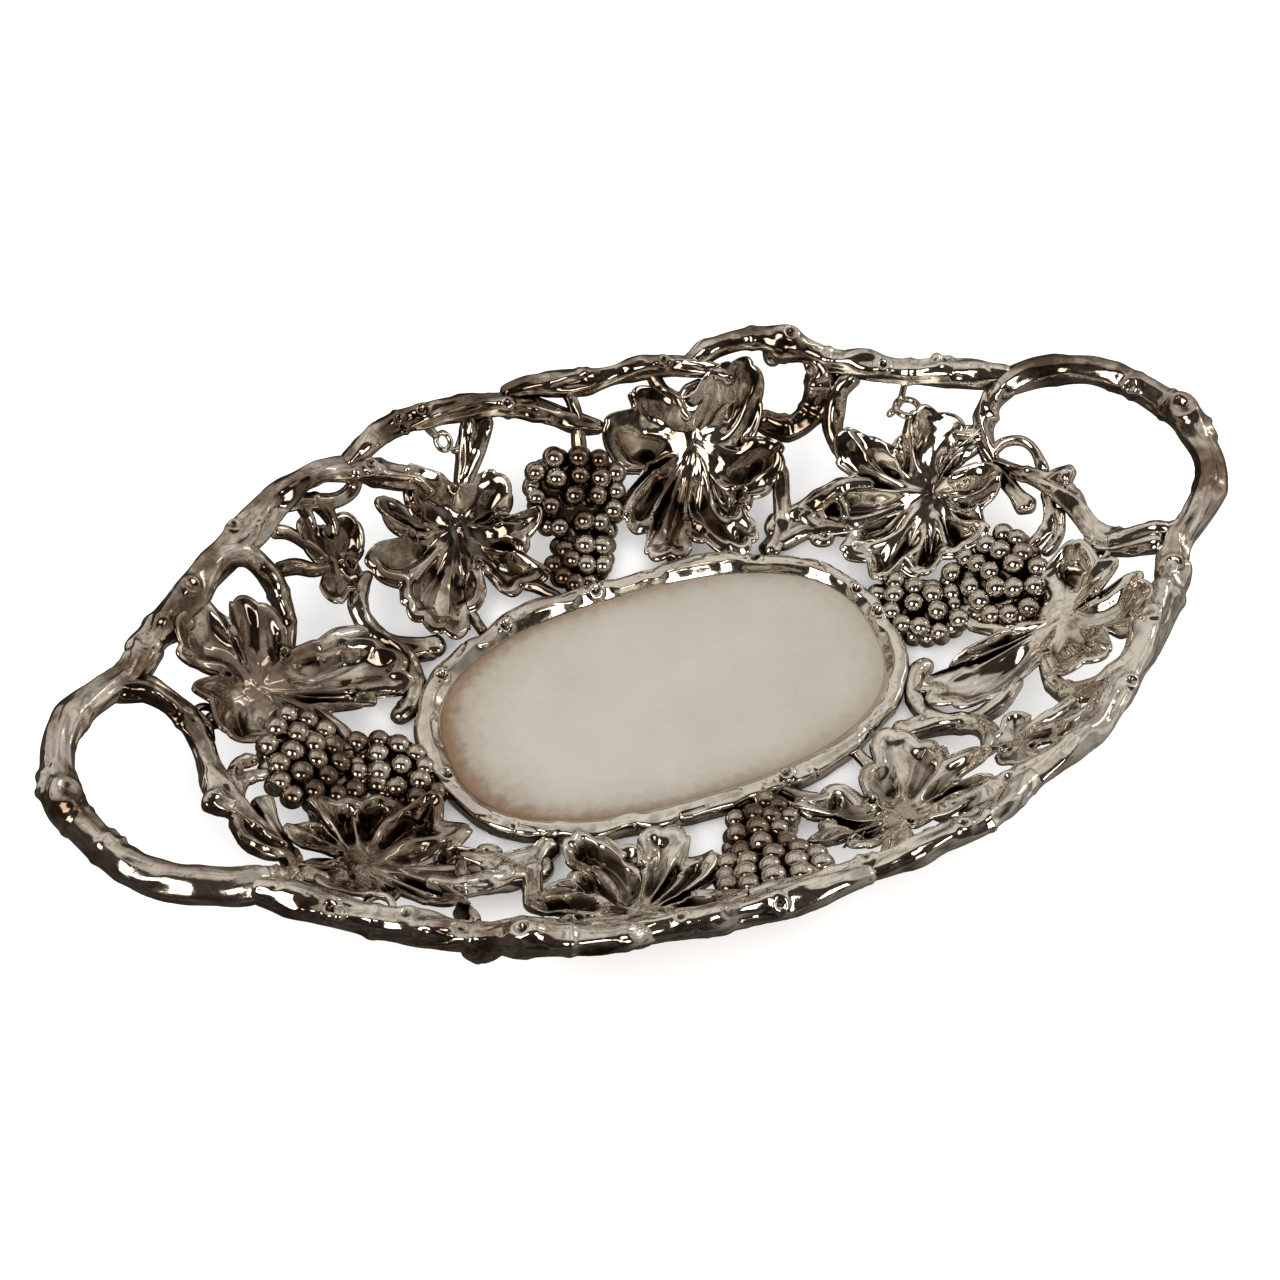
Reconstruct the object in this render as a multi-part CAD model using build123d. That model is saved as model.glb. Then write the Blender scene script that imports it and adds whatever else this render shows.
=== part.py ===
from build123d import *
import math
import os

# Openwork oval dresser tray in cast silver: a flat oval plate in a bark-like ring, grapevine
# sides that rise to a rim of overlapping branches, and a branch loop handle at each end.
# The whole tray repeats itself after half a turn about +Z, so every sub-part but the plate and
# the ring is made once (the "east" copy) and turned by 180 degrees for the "west" copy.
# Frame: +X along the handles, +Z up, z = 0 on the table under the ring. Millimetres.

# ---- driving dimensions -------------------------------------------------------------------
PLATE_TOP = 4.0             # plate surface above the table
PLATE_THICK = 1.6
PLATE_A, PLATE_B = 69.0, 38.0       # half length and half width of the plate
RING_A, RING_B = 75.8, 44.0         # half length and half width over the ring
RING_TOP = 6.6              # crest of the ring above the table
RING_LIP = 2.6              # how far the ring's inner slope runs back from the plate's edge
OVAL_POWER = 2.5            # superellipse power of plate and ring
RIM_A, RIM_B = 150.0, 98.5          # oval that the rim branches follow
RIM_RISE = 42.0             # rim branch centre above the plate surface
FLARE_RISE = 20.0           # further rise of the handles beyond the rim, per unit of reach
LEAF_THICK = 2.0
LEAF_CUP = 2.4              # how far a leaf's middle lies below its edge
BERRY_R = 3.6
HANDLE_GIRTH, RIM_GIRTH = 1.08, 1.2  # what each group's listed radii are multiplied by
STEM_GIRTH, VINE_GIRTH = 1.3, 1.35
MOST_STEPS = 3              # most sections worked out between two listed points of a branch

# ---- the bowl surface ---------------------------------------------------------------------


def bowl(x, y):
    """Height of the sides above the plate surface at a place in plan."""
    reach_rim = math.hypot(x / RIM_A, y / RIM_B)
    reach_ring = ((abs(x) / RING_A) ** OVAL_POWER + (abs(y) / RING_B) ** OVAL_POWER) ** (1 / OVAL_POWER)
    if reach_ring <= 1:
        return 0.0
    s = (1 - 1 / reach_ring) / (1 / reach_rim - 1 / reach_ring)
    if s > 1:
        return RIM_RISE + (s - 1) * FLARE_RISE
    steepness = 1.6 + 0.6 * (y / RIM_B / reach_rim) ** 2
    return RIM_RISE * s ** steepness


def place(x, y, lift=0.0):
    """A point on the bowl surface, raised by lift."""
    return Vector(x, y, PLATE_TOP + bowl(x, y) + lift)


# ---- branches: (x, y, lift off the bowl surface, radius) ----------------------------------

HANDLE = [
    (128, 46.5, 0, 3.4), (134, 47.6, 0, 4.4), (142, 47, 0, 4.7), (151, 43.5, 0, 4.6), (160, 37, 0, 4.4),
    (166.5, 28.5, 0, 4.4), (170.5, 20, 0, 4.6), (173.5, 12.5, 0.5, 5.2), (173.4, 3, 0, 4.3),
    (171.5, -7, 0, 4.3), (166, -16, 0, 4.5), (158, -22.5, -1, 4.6), (150.5, -27, -2, 4.8),
    (145, -33, -2, 4.4), (140.5, -39, -2, 3.8),
]

RIM_BRANCHES = {
    "rim_branch_shoulder": [
        (-148, 32, -2, 3.6), (-143, 37.5, -2, 4.2), (-136, 44.5, -1.5, 4.3), (-129, 50.5, -1, 4.2),
        (-122, 56.5, -0.5, 3.9), (-115, 62, 0, 3.8), (-108, 67.5, 0, 3.9), (-101, 73, 0, 3.9),
        (-94, 78, 0, 3.5), (-86, 81.5, 0, 3.1), (-77, 83.4, 0, 3.1), (-68, 83.8, 0, 3.2),
        (-60, 83, 0, 3.1), (-53, 81.6, 1, 2.9), (-48.5, 78, 1.5, 2.2),
    ],
    "rim_branch_middle": [
        (-74, 84, -1, 2.2), (-67, 88, -0.5, 2.8), (-60, 91.3, 0, 3.0), (-52, 93.8, 0, 3.1),
        (-44, 94.6, 0, 3.1), (-35, 95, 0, 3.0), (-26, 95.3, 0, 2.9), (-17, 94.6, 0, 2.9),
        (-8, 92.6, 0, 2.9), (-1, 90.2, 0, 2.8), (5, 88.3, 0, 2.6), (11, 86.3, 0.5, 1.8),
    ],
    "rim_branch_crown": [
        (-20, 97.2, -1, 1.8), (-11, 97.4, -0.5, 2.6), (-2, 96.8, 0, 3.0), (8, 96, 0, 3.2),
        (17, 95.6, 0, 3.0), (27, 95, 0, 2.9), (36, 93.2, 0, 2.9), (44, 90.6, 0, 2.8), (50, 88, 0.5, 2.7),
        (55.5, 84.8, 1, 2.0),
    ],
    "rim_branch_handle": [
        (40, 92.3, -2, 2.0), (48, 93.2, -1, 2.8), (57, 92, 0.5, 3.0), (66, 89.2, 1.5, 3.2),
        (71.5, 86.2, 2, 4.0), (78, 82.8, 1, 3.4), (84.5, 78.8, 0, 3.4), (92, 75, 0, 3.5), (100, 70, 0, 3.4),
        (107, 65.5, 0, 3.4), (114, 61.5, 0, 3.5), (121, 57, 0, 3.3), (128, 52.6, 0, 3.4), (135, 49, 0, 3.0),
    ],
}

STEMS = {
    "hook_branch": [[
        (78.5, 83, -0.5, 2.8), (82, 79, -3.5, 3.8), (79, 74, -5, 3.5), (72.5, 71.6, -4, 3.1),
        (66, 73, -3, 3.0), (60, 77, -1.5, 2.6),
    ]],
    "leaf_arc_branch": [[
        (92.5, 73.5, -1, 2.6), (86.5, 72.4, -2, 2.7), (83.2, 68.5, -3, 2.6), (82, 64, -2, 2.3),
        (82.5, 57.5, -0.5, 1.8),
    ]],
    "shoulder_arc_branch": [[
        (-128, 50, -1.5, 2.4), (-121.5, 56.8, -0.5, 2.7), (-115.5, 61.3, 0.5, 2.8), (-109, 62.3, 0.5, 2.9),
        (-104.3, 58.8, 0, 2.8), (-102.6, 53, -0.5, 2.4), (-103, 46, 0, 2.0), (-105.5, 38, 0.5, 1.6),
    ]],
    "foot_stem_shoulder": [
        [(-58, 38, 0, 2.6), (-66, 39.5, 0, 2.3), (-73, 41.5, 0, 2.3), (-79, 46, 0, 2.5), (-81, 52, 0, 2.2),
         (-78.5, 58, 0, 1.9), (-74, 61.5, 1, 1.4)],
        [(-78, 45.5, 0, 1.8), (-85, 45.2, 0, 2.2), (-91, 43.5, 0.5, 2.2), (-98, 39.5, 1, 1.6)],
    ],
    "hook_twig": [[
        (-80, 45, 0, 1.8), (-75, 42, 0, 2.1), (-71.5, 37, 0, 2.2), (-70.8, 31, -0.3, 2.3),
        (-72, 24.5, -0.5, 2.4), (-76.5, 19.7, -0.7, 2.5), (-81.5, 17.6, -0.8, 2.0),
    ]],
    "foot_stem_handle": [[
        (49, 38, 0, 2.8), (55, 43, 0, 2.5), (59, 48.5, 0, 2.5), (61, 55, 0, 2.2), (62.6, 61, 0.5, 1.9),
        (61, 66.5, 1, 1.4),
    ]],
    "leaf_feed_stem": [
        [(59.5, 49, 0, 2.2), (66, 48, 0, 2.7), (73, 49, 0.5, 2.6), (81, 49, 1, 2.2), (89, 45, 1.5, 1.6)],
        [(53, 40.5, 0, 2.0), (59, 42, 0, 2.5), (65, 42.3, 0, 2.5), (71, 40, 0.5, 2.2), (77, 35.5, 1, 1.6)],
        [(60, 41.5, 0, 2.0), (61.5, 45.5, 0, 2.2), (65, 49, 0, 2.0)],
    ],
    "crown_leaf_stem": [[
        (28.5, 94.5, -0.5, 1.8), (31.5, 90, 0, 1.7), (35, 86.5, 1, 1.7), (38.5, 81, 1.5, 1.4),
    ]],
    "middle_leaf_stem": [[
        (-25.5, 94, -0.5, 2.2), (-30.5, 88.5, 0, 2.4), (-34.5, 84, 1, 2.3), (-40, 78, 1.5, 1.6),
    ]],
    "small_leaf_stem": [
        [(-101, 69, 0, 1.8), (-96, 69.3, 0, 1.6), (-91, 67.3, 0.3, 1.5), (-86, 63.5, 0.8, 1.2)],
        [(-102.5, 60.5, -0.3, 1.9), (-96, 62, 0, 1.7), (-91, 61.5, 0.3, 1.5), (-85.5, 62.5, 0.8, 1.2)],
    ],
    "grape_stalk": [[
        (-1, 97, 0, 1.3), (1.6, 94, 0.8, 1.4), (2.6, 90, 1.2, 1.4), (2, 86, 1, 1.6), (0.5, 80.5, 1.5, 1.8),
    ]],
}

INNER_VINES = {
    "handle_crotch_vine": [
        [(134, 47.2, 0, 3.0), (127.5, 46.2, 0, 2.8), (123.6, 42.5, 0, 2.5), (122.4, 37, 0, 2.4),
         (122.4, 30, 0, 2.0)],
        [(121.5, 33, 1, 1.3), (126, 33.6, 1.5, 1.5), (130.2, 31, 1.5, 1.6), (132.8, 26, 1, 1.5),
         (133, 18, 0, 1.4)],
        [(122, 32, -0.5, 1.8), (123.5, 24.5, -0.5, 1.7), (124.6, 17.5, 0, 1.7), (125.6, 12.2, 0, 2.4),
         (125.8, 10.4, 0, 1.4)],
        [(122.8, 38.5, 0, 1.9), (118.5, 42.5, 0.3, 2.0), (114, 45.5, 0.8, 1.7)],
    ],
    "handle_side_vine": [
        [(122, 31.5, 0, 1.8), (125.6, 26.5, 0, 1.9), (129.3, 21, 0, 2.0), (132.6, 15, 0, 2.5),
         (134.9, 8, 0, 2.6), (136, 0, 0, 2.4), (136.3, -7, 0, 2.3), (138.5, -14, 0, 2.3),
         (143.5, -19.8, 0, 2.5), (150, -23.4, -1, 2.8), (157, -24, -1, 2.6)],
        [(132.3, 16, 0.3, 1.7), (135.5, 14.8, 0.6, 1.9), (138.2, 12.6, 1, 2.2), (139.2, 11.6, 1, 1.2)],
        [(134, -7, -0.5, 1.6), (135.8, -14, -0.5, 1.8), (140, -20.5, -1, 1.9), (147, -26.5, -2, 2.4)],
    ],
    "grape_link_twig": [[
        (132, 14.5, -0.5, 1.6), (129.8, 6.5, -0.5, 1.5), (125.8, 2.4, -0.5, 1.5), (119.5, 1, 0, 1.4),
    ]],
}

# ---- leaves: a middle, then the lobed edge as (x, y, lift) ----------------------------------

LEAVES = {
    "leaf_shoulder": ((-117, 27), [
        (-124, 49, 0), (-119.5, 44.5, 0), (-117, 50.5, 1), (-110, 50, 2), (-104, 46, 1), (-104, 39.5, 0),
        (-96, 41.5, 2), (-86, 42, 3), (-77, 38, 3), (-72.5, 30, 2), (-76, 24, 1), (-84, 24.5, 0),
        (-89, 21, 1), (-99, 20, 1), (-95, 13, 2), (-97, 7, 1), (-106, 12, 0), (-121, 9, 1), (-129, 9, 2),
        (-131, 19, 2), (-134, 24, 1), (-126, 29, 0), (-134, 30, 2), (-134.5, 35, 3), (-131, 44, 2),
    ]),
    "leaf_middle": ((-44, 71), [
        (-46, 82, 1), (-41, 80, 0), (-33, 81.5, 2), (-27, 81, 2), (-24, 76, 1), (-27, 72, 0),
        (-16.5, 70.5, 3), (-22, 64.5, 2), (-25, 60.5, 0), (-21.5, 57, 2), (-20.5, 52, 2), (-29, 50.5, 1),
        (-36, 50.5, 1), (-39.5, 58, 0), (-42, 50, 2), (-48, 46, 2), (-50, 40.5, 2), (-58, 39.5, 3),
        (-63, 46, 2), (-66.5, 51, 2), (-67, 56, 1), (-73.5, 60.5, 3), (-71.5, 66, 2), (-62, 68.5, 0),
        (-66, 73, 2), (-64.5, 78, 2), (-58, 76, 0), (-55, 83, 2),
    ]),
    "leaf_crown": ((38, 77), [
        (41, 84.5, 2), (47, 87, 3), (54, 87, 3), (60.5, 84, 3), (61.5, 78, 2), (57, 71, 0), (62, 69, 3),
        (64, 63.5, 3), (59, 58, 1), (51, 55.5, 0), (47.5, 53, 1), (49, 48, 2), (45, 41.5, 2), (38.5, 41.5, 1),
        (32, 48, 1), (27, 52, 0), (26.5, 46.5, 2), (19, 46.5, 2), (13.5, 51, 2), (15.5, 58, 0),
        (9.5, 61.5, 2), (11.5, 69, 1), (19, 73.5, 0), (12.5, 77, 1), (10.5, 85.5, 2), (21, 87.5, 1),
        (22, 90.5, 2), (30, 89.5, 1), (34.5, 86, 0),
    ]),
    "leaf_handle": ((104, 34.5), [
        (105, 54.5, 3), (111.5, 51.5, 2), (117.5, 44, 1), (111, 40.5, 0), (121, 40, 1), (120, 36.5, 0),
        (110, 35, 0), (119, 31, 2), (120.5, 23.5, 2), (114, 20, 0), (112.5, 12.5, 1), (105, 11, 1),
        (98, 12.5, 0), (91, 11.5, 1), (85.5, 15.5, 1), (77, 14.5, 2), (77.5, 23, 1), (71.5, 28.5, 2),
        (75.5, 34, 0), (69, 38, 2), (64.5, 46, 2), (72, 50.5, 2), (82.5, 50, 0), (80.5, 56, 2),
        (83.5, 60.5, 3), (91, 57, 2), (97, 51.5, 0), (101, 53, 2),
    ]),
    "leaf_small": ((-84.5, 64), [
        (-91, 71.5, 1), (-83.5, 71, 0), (-80, 74.5, 1), (-74.5, 72.5, 2), (-75, 66.5, 1), (-78, 63, 0),
        (-76.5, 57.5, 1), (-82, 56.5, 1), (-86.5, 52.5, 2), (-90.5, 56.5, 1), (-88.5, 61, 0), (-92, 66, 1),
    ]),
}

# Short feet that tie a leaf down to the ring or across to its stem, cast with the leaf
LEAF_FEET = {
    "leaf_middle": [
        [(-48, 48, 0.5, 2.0), (-46.5, 43.5, 0, 1.8), (-45.5, 38.5, 0, 2.0)],
        [(-29, 52, 0.5, 1.8), (-23.5, 49, 0.5, 2.0), (-18.5, 43.5, 0, 1.8)],
    ],
    "leaf_crown": [
        [(20.5, 50, 0.5, 2.2), (21, 46.5, 0, 2.4), (21.8, 41.5, 0, 2.2)],
    ],
    "leaf_shoulder": [
        [(-129, 44, 1, 2.6), (-133, 41.5, -0.5, 2.6), (-138, 42, -1.5, 2.4)],
    ],
    "leaf_handle": [],
    "leaf_small": [],
}

# ---- grape clusters: berry centres in plan, as (x, y, lift) --------------------------------

CLUSTERS = {
    "grapes_crown": [
        (-14.5, 80.5, 1), (-7.5, 82.5, 1.5), (0, 80.5, 3.5), (6.5, 79.5, 2), (-16, 74.8, 1), (-8.5, 77, 3.5),
        (-1.2, 75.6, 5), (5.2, 74.5, 3.5), (11, 76, 0.5), (-12.5, 71, 3), (-4.5, 71, 5.5), (2.5, 70, 4.5),
        (9.5, 71.5, 1), (-11.5, 65.5, 2), (-4, 64, 5), (1.3, 63.5, 2.5), (6.8, 66.5, 1.5), (-12, 58.8, 1),
        (-6, 57.3, 4), (-0.5, 56.5, 2), (-17, 55.3, 1), (-11.5, 54.2, 3), (-15.6, 50.5, 1), (-7.6, 51.4, 3),
        (-2.3, 50.6, 1.5), (-13, 47.2, 1),
    ],
    "grapes_handle_large": [
        (104.5, 9, 1), (110.5, 8.3, 2.5), (116.5, 9.5, 0.5), (99.5, 7.2, 0), (105.7, 3.8, 3), (112.3, 3.2, 4),
        (118.5, 5, 1.5), (96.5, 0.8, 0), (101, -1.6, 2.5), (107, -1.3, 4.5), (117.5, -0.8, 2), (113, -3.6, 5),
        (101.5, -7.2, 2), (106.3, -7, 4), (119, -7.6, 1.5), (110, -10.6, 4), (102.3, -13.6, 1), (106, -17, 2),
        (115.3, -13.2, 2.5), (111.2, -18.3, 1.5),
    ],
    "grapes_handle_small": [
        (82.5, 13, 1), (76.5, 11.8, 0), (80, 8, 2.5), (87, 8.2, 1.5), (92, 5.5, 0), (77.2, 3.2, 1.5),
        (83.8, 2, 3.5), (90.5, 2.6, 2), (78.3, -2.2, 1), (82.5, -6, 2), (89.2, -3.6, 2.5), (94, -9.2, 1),
        (87.3, -9.8, 0.5),
    ],
}

# The edge of the thin backing that a cluster's berries sit on, as (x, y, lift)
BACKINGS = {
    "grapes_crown": [
        (-16, 79, 0), (-8, 83, 0), (3, 82, 1), (10, 76, 0), (9.5, 69, 0), (4, 63, 0), (1, 56, 0),
        (-4, 50, 0), (-12, 47.5, 0), (-17, 54, 0), (-13, 62, 0), (-16, 72, 0),
    ],
    "grapes_handle_large": [
        (100, 8, 0), (109, 10, 0), (118, 8, 0), (121, 0, 0), (119, -8, 0), (115, -14, 0), (111, -18, 0),
        (105, -17, 0), (101, -12, 0), (97, -5, 0), (96, 2, 0),
    ],
    "grapes_handle_small": [
        (77, 12, 0), (84, 13, 0), (91, 7, 0), (91, 0, 0), (94, -8, 0), (88, -10, 0), (82, -7, 0),
        (77, -2, 0), (76, 5, 0),
    ],
}

# Tendrils: middle in plan, loop radius, lift
TENDRILS = {
    "tendril_handle": (104.8, 58.6, 3.5, 1.0),
    "tendril_middle": (-41.5, 90.2, 2.6, 0.5),
}
TENDRIL_WIRE = 0.9

# ---- makers -------------------------------------------------------------------------------


def smooth(points):
    """Catmull-Rom points between the listed ones, each an (x, y, lift, radius)."""
    out = []
    for i in range(len(points) - 1):
        before = points[max(i - 1, 0)]
        here, there = points[i], points[i + 1]
        after = points[min(i + 2, len(points) - 1)]
        run = (place(*there[:3]) - place(*here[:3])).length
        steps = max(1, min(MOST_STEPS, int(run / max(here[3], there[3]))))
        for k in range(steps):
            t = k / steps
            out.append(tuple(
                0.5 * (2 * b + (c - a) * t + (2 * a - 5 * b + 4 * c - d) * t * t
                       + (3 * b - a - 3 * c + d) * t ** 3)
                for a, b, c, d in zip(before, here, there, after)))
    out.append(tuple(float(v) for v in points[-1]))
    return out


def branch(points, girth=1.0):
    """A tapered round branch through the listed points: a strip of skin between each two rings."""
    line = smooth(points)
    centres = [place(x, y, lift) for x, y, lift, _ in line]
    rings = []
    for i, centre in enumerate(centres):
        ahead = centres[min(i + 1, len(centres) - 1)]
        behind = centres[max(i - 1, 0)]
        along = (ahead - behind).normalized()
        across = along.cross(Vector(0, 0, 1)).normalized()
        frame = Plane(origin=centre, x_dir=across, z_dir=along)
        rings.append(Edge.make_circle(line[i][3] * girth, frame))
    skin = [Face.make_surface_from_curves(a, b) for a, b in zip(rings, rings[1:])]
    ends = [Face(Wire([ring])) for ring in (rings[0], rings[-1])]
    return Solid(Shell(skin + ends))


def join(shapes):
    """Fuse shapes that are cast as one piece."""
    body = None
    for shape in shapes:
        body = shape if body is None else body + shape
    return body


def leaf(middle, edge):
    """A lobed plate of facets: two fans about the middle, closed by a strip along the edge."""
    half = LEAF_THICK / 2
    swept = sum(a[0] * b[1] - b[0] * a[1] for a, b in zip(edge, edge[1:] + edge[:1]))
    if swept < 0:
        edge = edge[::-1]
    top_mid = place(*middle, half - LEAF_CUP / 2)
    low_mid = place(*middle, -half - LEAF_CUP / 2)
    top = [place(x, y, lift + half) for x, y, lift in edge]
    low = [place(x, y, lift - half) for x, y, lift in edge]
    faces = []
    for i in range(len(edge)):
        j = (i + 1) % len(edge)
        for corners in (
            (top_mid, top[i], top[j]), (low_mid, low[j], low[i]),
            (top[i], low[i], low[j]), (top[i], low[j], top[j]),
        ):
            faces.append(Face(Wire.make_polygon(corners, close=True)))
    return Solid(Shell(faces))


def cluster(berries, backing):
    """Round berries, each a solid of its own, sunk into the thin backing that carries them."""
    middle = tuple(sum(point[k] for point in backing) / len(backing) for k in (0, 1))
    solids = [leaf(middle, backing)]
    for x, y, lift in berries:
        solids.append(Pos(*place(x, y, lift)) * Solid.make_sphere(BERRY_R))
    return Compound(solids)


def oval(a, b, count=48):
    """A superellipse face."""
    points = []
    for i in range(count):
        turn = 2 * math.pi * i / count
        c, s = math.cos(turn), math.sin(turn)
        points.append((a * math.copysign(abs(c) ** (2 / OVAL_POWER), c),
                       b * math.copysign(abs(s) ** (2 / OVAL_POWER), s)))
    return make_face(Spline(*points, periodic=True))


def plate():
    return Pos(0, 0, PLATE_TOP - PLATE_THICK) * extrude(oval(PLATE_A, PLATE_B), PLATE_THICK)


def ring():
    """The bark ring: upright outside, sloping inwards down to the plate's edge."""
    body = extrude(oval(RING_A, RING_B), RING_TOP)
    hole = extrude(oval(PLATE_A, PLATE_B), PLATE_TOP)
    slope = loft([
        Pos(0, 0, PLATE_TOP) * oval(PLATE_A, PLATE_B),
        Pos(0, 0, RING_TOP + 1) * oval(PLATE_A + RING_LIP * 1.4, PLATE_B + RING_LIP * 1.4),
    ], ruled=True)
    return body - hole - slope


def tendril(x, y, radius, lift):
    """A closed curl of wire lying along the bowl surface."""
    centre = place(x, y, lift)
    side = place(x + radius, y, lift) - centre
    up = place(x, y + radius, lift) - centre
    normal = side.cross(up).normalized()
    return Plane(origin=centre, x_dir=side.normalized(), z_dir=normal) * Torus(radius, TENDRIL_WIRE)


# ---- build --------------------------------------------------------------------------------

os.makedirs("parts", exist_ok=True)


def write(name, shape):
    export_step(shape, os.path.join("parts", name + ".step"))


def write_pair(name, shape):
    """East copy as modelled, west copy after half a turn about +Z."""
    write(name + "_east", shape)
    write(name + "_west", shape.rotate(Axis.Z, 180))


write("well_plate", plate())
write("bark_ring", ring())
write_pair("loop_handle", branch(HANDLE, HANDLE_GIRTH))
for name, points in RIM_BRANCHES.items():
    write_pair(name, branch(points, RIM_GIRTH))
for group, girth in ((STEMS, STEM_GIRTH), (INNER_VINES, VINE_GIRTH)):
    for name, lines in group.items():
        write_pair(name, join(branch(points, girth) for points in lines))
for name, (middle, edge) in LEAVES.items():
    feet = [branch(points) for points in LEAF_FEET[name]]
    write_pair(name, join([leaf(middle, edge), *feet]))
for name, berries in CLUSTERS.items():
    write_pair(name, cluster(berries, BACKINGS[name]))
for name, numbers in TENDRILS.items():
    write_pair(name, tendril(*numbers))
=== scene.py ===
import math

import bpy
import numpy as np
from mathutils import Matrix, Vector


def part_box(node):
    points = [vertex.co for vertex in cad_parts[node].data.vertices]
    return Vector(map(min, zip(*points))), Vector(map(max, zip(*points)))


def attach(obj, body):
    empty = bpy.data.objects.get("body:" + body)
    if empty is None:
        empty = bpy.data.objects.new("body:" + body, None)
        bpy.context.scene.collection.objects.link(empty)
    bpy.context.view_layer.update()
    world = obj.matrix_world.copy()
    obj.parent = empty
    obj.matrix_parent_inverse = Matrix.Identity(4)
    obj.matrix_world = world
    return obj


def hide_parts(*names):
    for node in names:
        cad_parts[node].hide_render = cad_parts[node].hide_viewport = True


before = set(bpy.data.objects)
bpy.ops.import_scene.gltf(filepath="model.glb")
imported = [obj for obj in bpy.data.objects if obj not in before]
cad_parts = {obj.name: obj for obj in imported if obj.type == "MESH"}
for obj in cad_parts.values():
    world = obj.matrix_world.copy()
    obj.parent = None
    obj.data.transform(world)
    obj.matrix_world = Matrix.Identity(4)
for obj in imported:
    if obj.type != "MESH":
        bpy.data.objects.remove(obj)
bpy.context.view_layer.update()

# An oval dresser tray in cast, polished and tarnished metal: plate, bark ring, grapevine sides,
# two branch handles. Everything but the plate and the ring is made once, as its "east" copy, and
# turned by 180 degrees about +Z for its "west" copy. Lengths are in millimetres until a mesh is
# written, and MM turns them into metres.
MM = 0.001

# ---- driving dimensions: the CAD model's, but for a slimmer handle and thinner leaves ----
PLATE_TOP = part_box("well_plate")[1][2] / MM
PLATE_THICK = 1.6
PLATE_A, PLATE_B = 69.0, 38.0
RING_A, RING_B = 75.8, 44.0
OVAL_POWER = 2.5
RIM_A, RIM_B = 150.0, 98.5
RIM_RISE = 42.0
FLARE_RISE = 20.0
BERRY_R = 3.6
LEAF_THICK = 1.8
HANDLE_GIRTH, RIM_GIRTH, STEM_GIRTH, VINE_GIRTH = 1.03, 1.2, 1.3, 1.35

# ---- mesh and bark detail ----
SCOOP_WIDTH = 27.0          # a leaf's folds, measured along its edge
LEAF_STEPS = 12             # points of a leaf's edge for each listed one
LEAF_ROWS = 56              # rows of points from a leaf's middle to its edge
USUAL_LEAF = 24.0           # mean radius of a leaf whose folds have the depth below
FLUTE = 4.8                 # depth of a leaf's folds
CUP = 2.4                   # how far a leaf's middle lies below its edge
CURL_UP = 1.8               # how far a leaf's edge rolls up
STEP = 0.55                 # spacing of a branch's rings and of the points round them
WIRE_STEP = 0.35            # the same on a wire curl
TWIST = 0.03                # turn of the bark's grooves, radians per mm
OFF_TABLE = 0.5             # only the ring touches the table; all else stays this far above it
FUSE_VOXEL = 0.36           # voxel that joins a piece made of several branches
PLATE_TUCK = 0.8            # how far the plate goes in under the ring
PLATE_SINK = 0.03           # how far the plate's face lies below PLATE_TOP, but for its unevenness
BACKING_THICK = 2.2         # the metal that a cluster's berries sit on
BACKING_SINK = 1.0          # how far its middle layer lies below the bowl surface
AGED = 0.2                  # how much browner a leaf's middle is than its edge
# How strongly the marks of the bark show on each kind of branch
RIM_BARK, STEM_BARK, VINE_BARK, SMOOTH_BARK, WIRE_BARK = 1.15, 0.9, 1.25, 0.7, 0.4

# ---- branches: (x, y, lift off the bowl surface, radius) ----

HANDLE = [
    (128, 46.5, 0, 3.4), (134, 47.6, 0, 4.4), (142, 47, 0, 4.7), (151, 43.5, 0, 4.6), (160, 37, 0, 4.4),
    (166.5, 28.5, 0, 4.4), (170.5, 20, 0, 4.6), (173.5, 12.5, 0.5, 5.2), (173.4, 3, 0, 4.3),
    (171.5, -7, 0, 4.3), (166, -16, 0, 4.5), (158, -22.5, -1, 4.6), (150.5, -27, -2, 4.8),
    (145, -33, -2, 4.4), (140.5, -39, -2, 3.8),
]

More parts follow.
